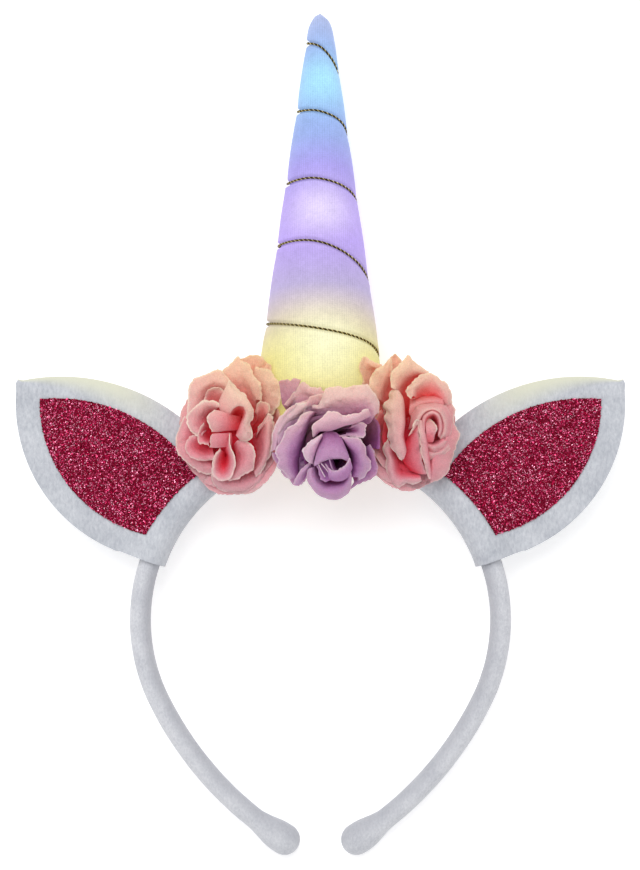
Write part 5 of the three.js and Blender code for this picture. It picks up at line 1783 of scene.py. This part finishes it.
             [(35.9, 61, 21), (37, 61, 21), (37.6, 61.1, 21)]),
        ],
    },
}


# %% Make the roses
UNDER_HEIGHTS = {"outer": 5.0, "middle": 7.0}
LAYER_STEP = 1.5
PETAL_THICK = 0.32
MIDDLE_PAINTED_SHADE = 0.3
FIRST_SEED = 40


def rose_in_hoop(rose):
    facing = Vector((0, 0, 1)).rotation_difference(Vector(rose["faces"]).normalized())
    return Matrix.Translation(rose["foot"]) @ facing.to_matrix().to_4x4()


CORE_RADIUS = 5.0
CORE_HEIGHT = 5.5
CORE_STEPS = 24
CORE_COLUMNS = 8
CORE_SHADE = 0.1


def core_rows(foot):
    """The rolled core that the petals are sewn to: a dome, deep in colour."""
    rows = []
    for i in range(CORE_STEPS + 1):
        turn = around(i, CORE_STEPS)
        row = []
        for j in range(CORE_COLUMNS + 1):
            lift = math.pi / 2 * j / CORE_COLUMNS
            out = CORE_RADIUS * math.cos(lift) + 0.05
            up = foot + CORE_HEIGHT * math.sin(lift)
            row.append((Vector((out * math.cos(turn), out * math.sin(turn), up)), CORE_SHADE))
        rows.append(row)
    return rows


def keep_rose_piece(piece, rose, node):
    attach(piece, "root")
    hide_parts(rose["name"] + "_" + node)
    report(piece)


for number, rose in enumerate((LEFT_ROSE, MIDDLE_ROSE, RIGHT_ROSE)):
    place = rose_in_hoop(rose)
    foot = place @ Vector((0, 0, 2))
    chance = random.Random(FIRST_SEED + number)
    for level, cut in enumerate(("outer", "middle", "inner", "heart")):
        bouquet = Bouquet(place)
        for petal in rose["under_petals"].get(cut, []):
            start = level * LAYER_STEP + chance.uniform(0.3, 1.1)
            grid = petal_rows(petal, UNDER_HEIGHTS[cut], start, chance)
            # Painted shade: the under petals of the middle cut lie in the hollows and are darkened.
            if cut == "middle":
                grid = [[(point, MIDDLE_PAINTED_SHADE * along) for point, along in row] for row in grid]
            bouquet.add_grid(grid, chance.random())
        if cut == "heart":
            bouquet.add_grid(core_rows(level * LAYER_STEP), 0.5)
        for petal in rose["shaped_petals"][cut]:
            bouquet.add_grid(shaped_rows(petal, foot, chance), chance.random(), IN_HOOP)
        piece = bouquet.made(rose["name"] + "_petals_" + cut, rose["finish"], PETAL_THICK)
        keep_rose_piece(piece, rose, cut)

# %% [markdown]
# ## Floor, light and camera
# The headband lies on a plain white floor under one large soft light, with a bright, even
# surround. The camera looks straight at the plane of the hoop from about a metre away.

# %% Floor
FLOOR_GLOW = 0.28


def floor_finish():
    material, tree, shader, place = new_finish("white_floor")
    colour = tree.ramp(tree.noise(3.0, 2.0, place), [(0.3, "#fbfbfb"), (0.7, "#ffffff")])
    tree.tree.links.new(colour, shader.inputs["Base Color"])
    set_shader(shader, Roughness=0.9, Specular_IOR_Level=0.1, Emission_Strength=FLOOR_GLOW)
    shader.inputs["Emission Color"].default_value = (1, 1, 1, 1)
    return material


FLOOR_HALF = 3.0
corners = [(-FLOOR_HALF, -FLOOR_HALF, 0), (FLOOR_HALF, -FLOOR_HALF, 0)]
corners += [(FLOOR_HALF, FLOOR_HALF, 0), (-FLOOR_HALF, FLOOR_HALF, 0)]
floor = make_piece("floor", corners, [(0, 1, 2, 3)], Matrix.Identity(4), floor_finish())

# %% Light
SURROUND = 0.7
SOFTBOX_PLACE = (-0.25, 0.55, 1.5)
SOFTBOX_SIZE = 1.1
SOFTBOX_POWER = 12.0
world = bpy.data.worlds.new("studio")
bpy.context.scene.world = world
world.use_nodes = True
world.node_tree.nodes["Background"].inputs["Color"].default_value = (1, 1, 1, 1)
world.node_tree.nodes["Background"].inputs["Strength"].default_value = SURROUND


def add_light(name, place, target, size, power):
    light = bpy.data.lights.new(name, "AREA")
    light.size = size
    light.energy = power
    lamp = bpy.data.objects.new(name, light)
    lamp.location = place
    lamp.rotation_euler = (Vector(target) - Vector(place)).to_track_quat("-Z", "Y").to_euler()
    bpy.context.collection.objects.link(lamp)
    return lamp


add_light("softbox", SOFTBOX_PLACE, (0, 0, 0), SOFTBOX_SIZE, SOFTBOX_POWER)

# %% Camera
CAMERA_DISTANCE = 950.0
CAMERA_OVER = (-0.17, 63.3)
VIEW_WIDTH = 218.9
SENSOR_WIDTH = 36.0
camera_data = bpy.data.cameras.new("camera")
camera_data.sensor_fit = "HORIZONTAL"
camera_data.sensor_width = SENSOR_WIDTH
camera_data.lens = SENSOR_WIDTH * CAMERA_DISTANCE / VIEW_WIDTH
camera = bpy.data.objects.new("camera", camera_data)
camera.location = HOOP_FRAME @ Vector((*CAMERA_OVER, CAMERA_DISTANCE))
camera.rotation_euler = (HOOP_TILT, 0, 0)
bpy.context.collection.objects.link(camera)
bpy.context.scene.camera = camera
bpy.context.scene.view_settings.view_transform = "Standard"
print("lens", round(camera_data.lens, 1), "mm")

# %% [markdown]
# ## Finish
# The last cell turns a box's corners into plain numbers.


# %% Box corners as plain numbers
def plain(box):
    return [[float(value) for value in corner] for corner in box]
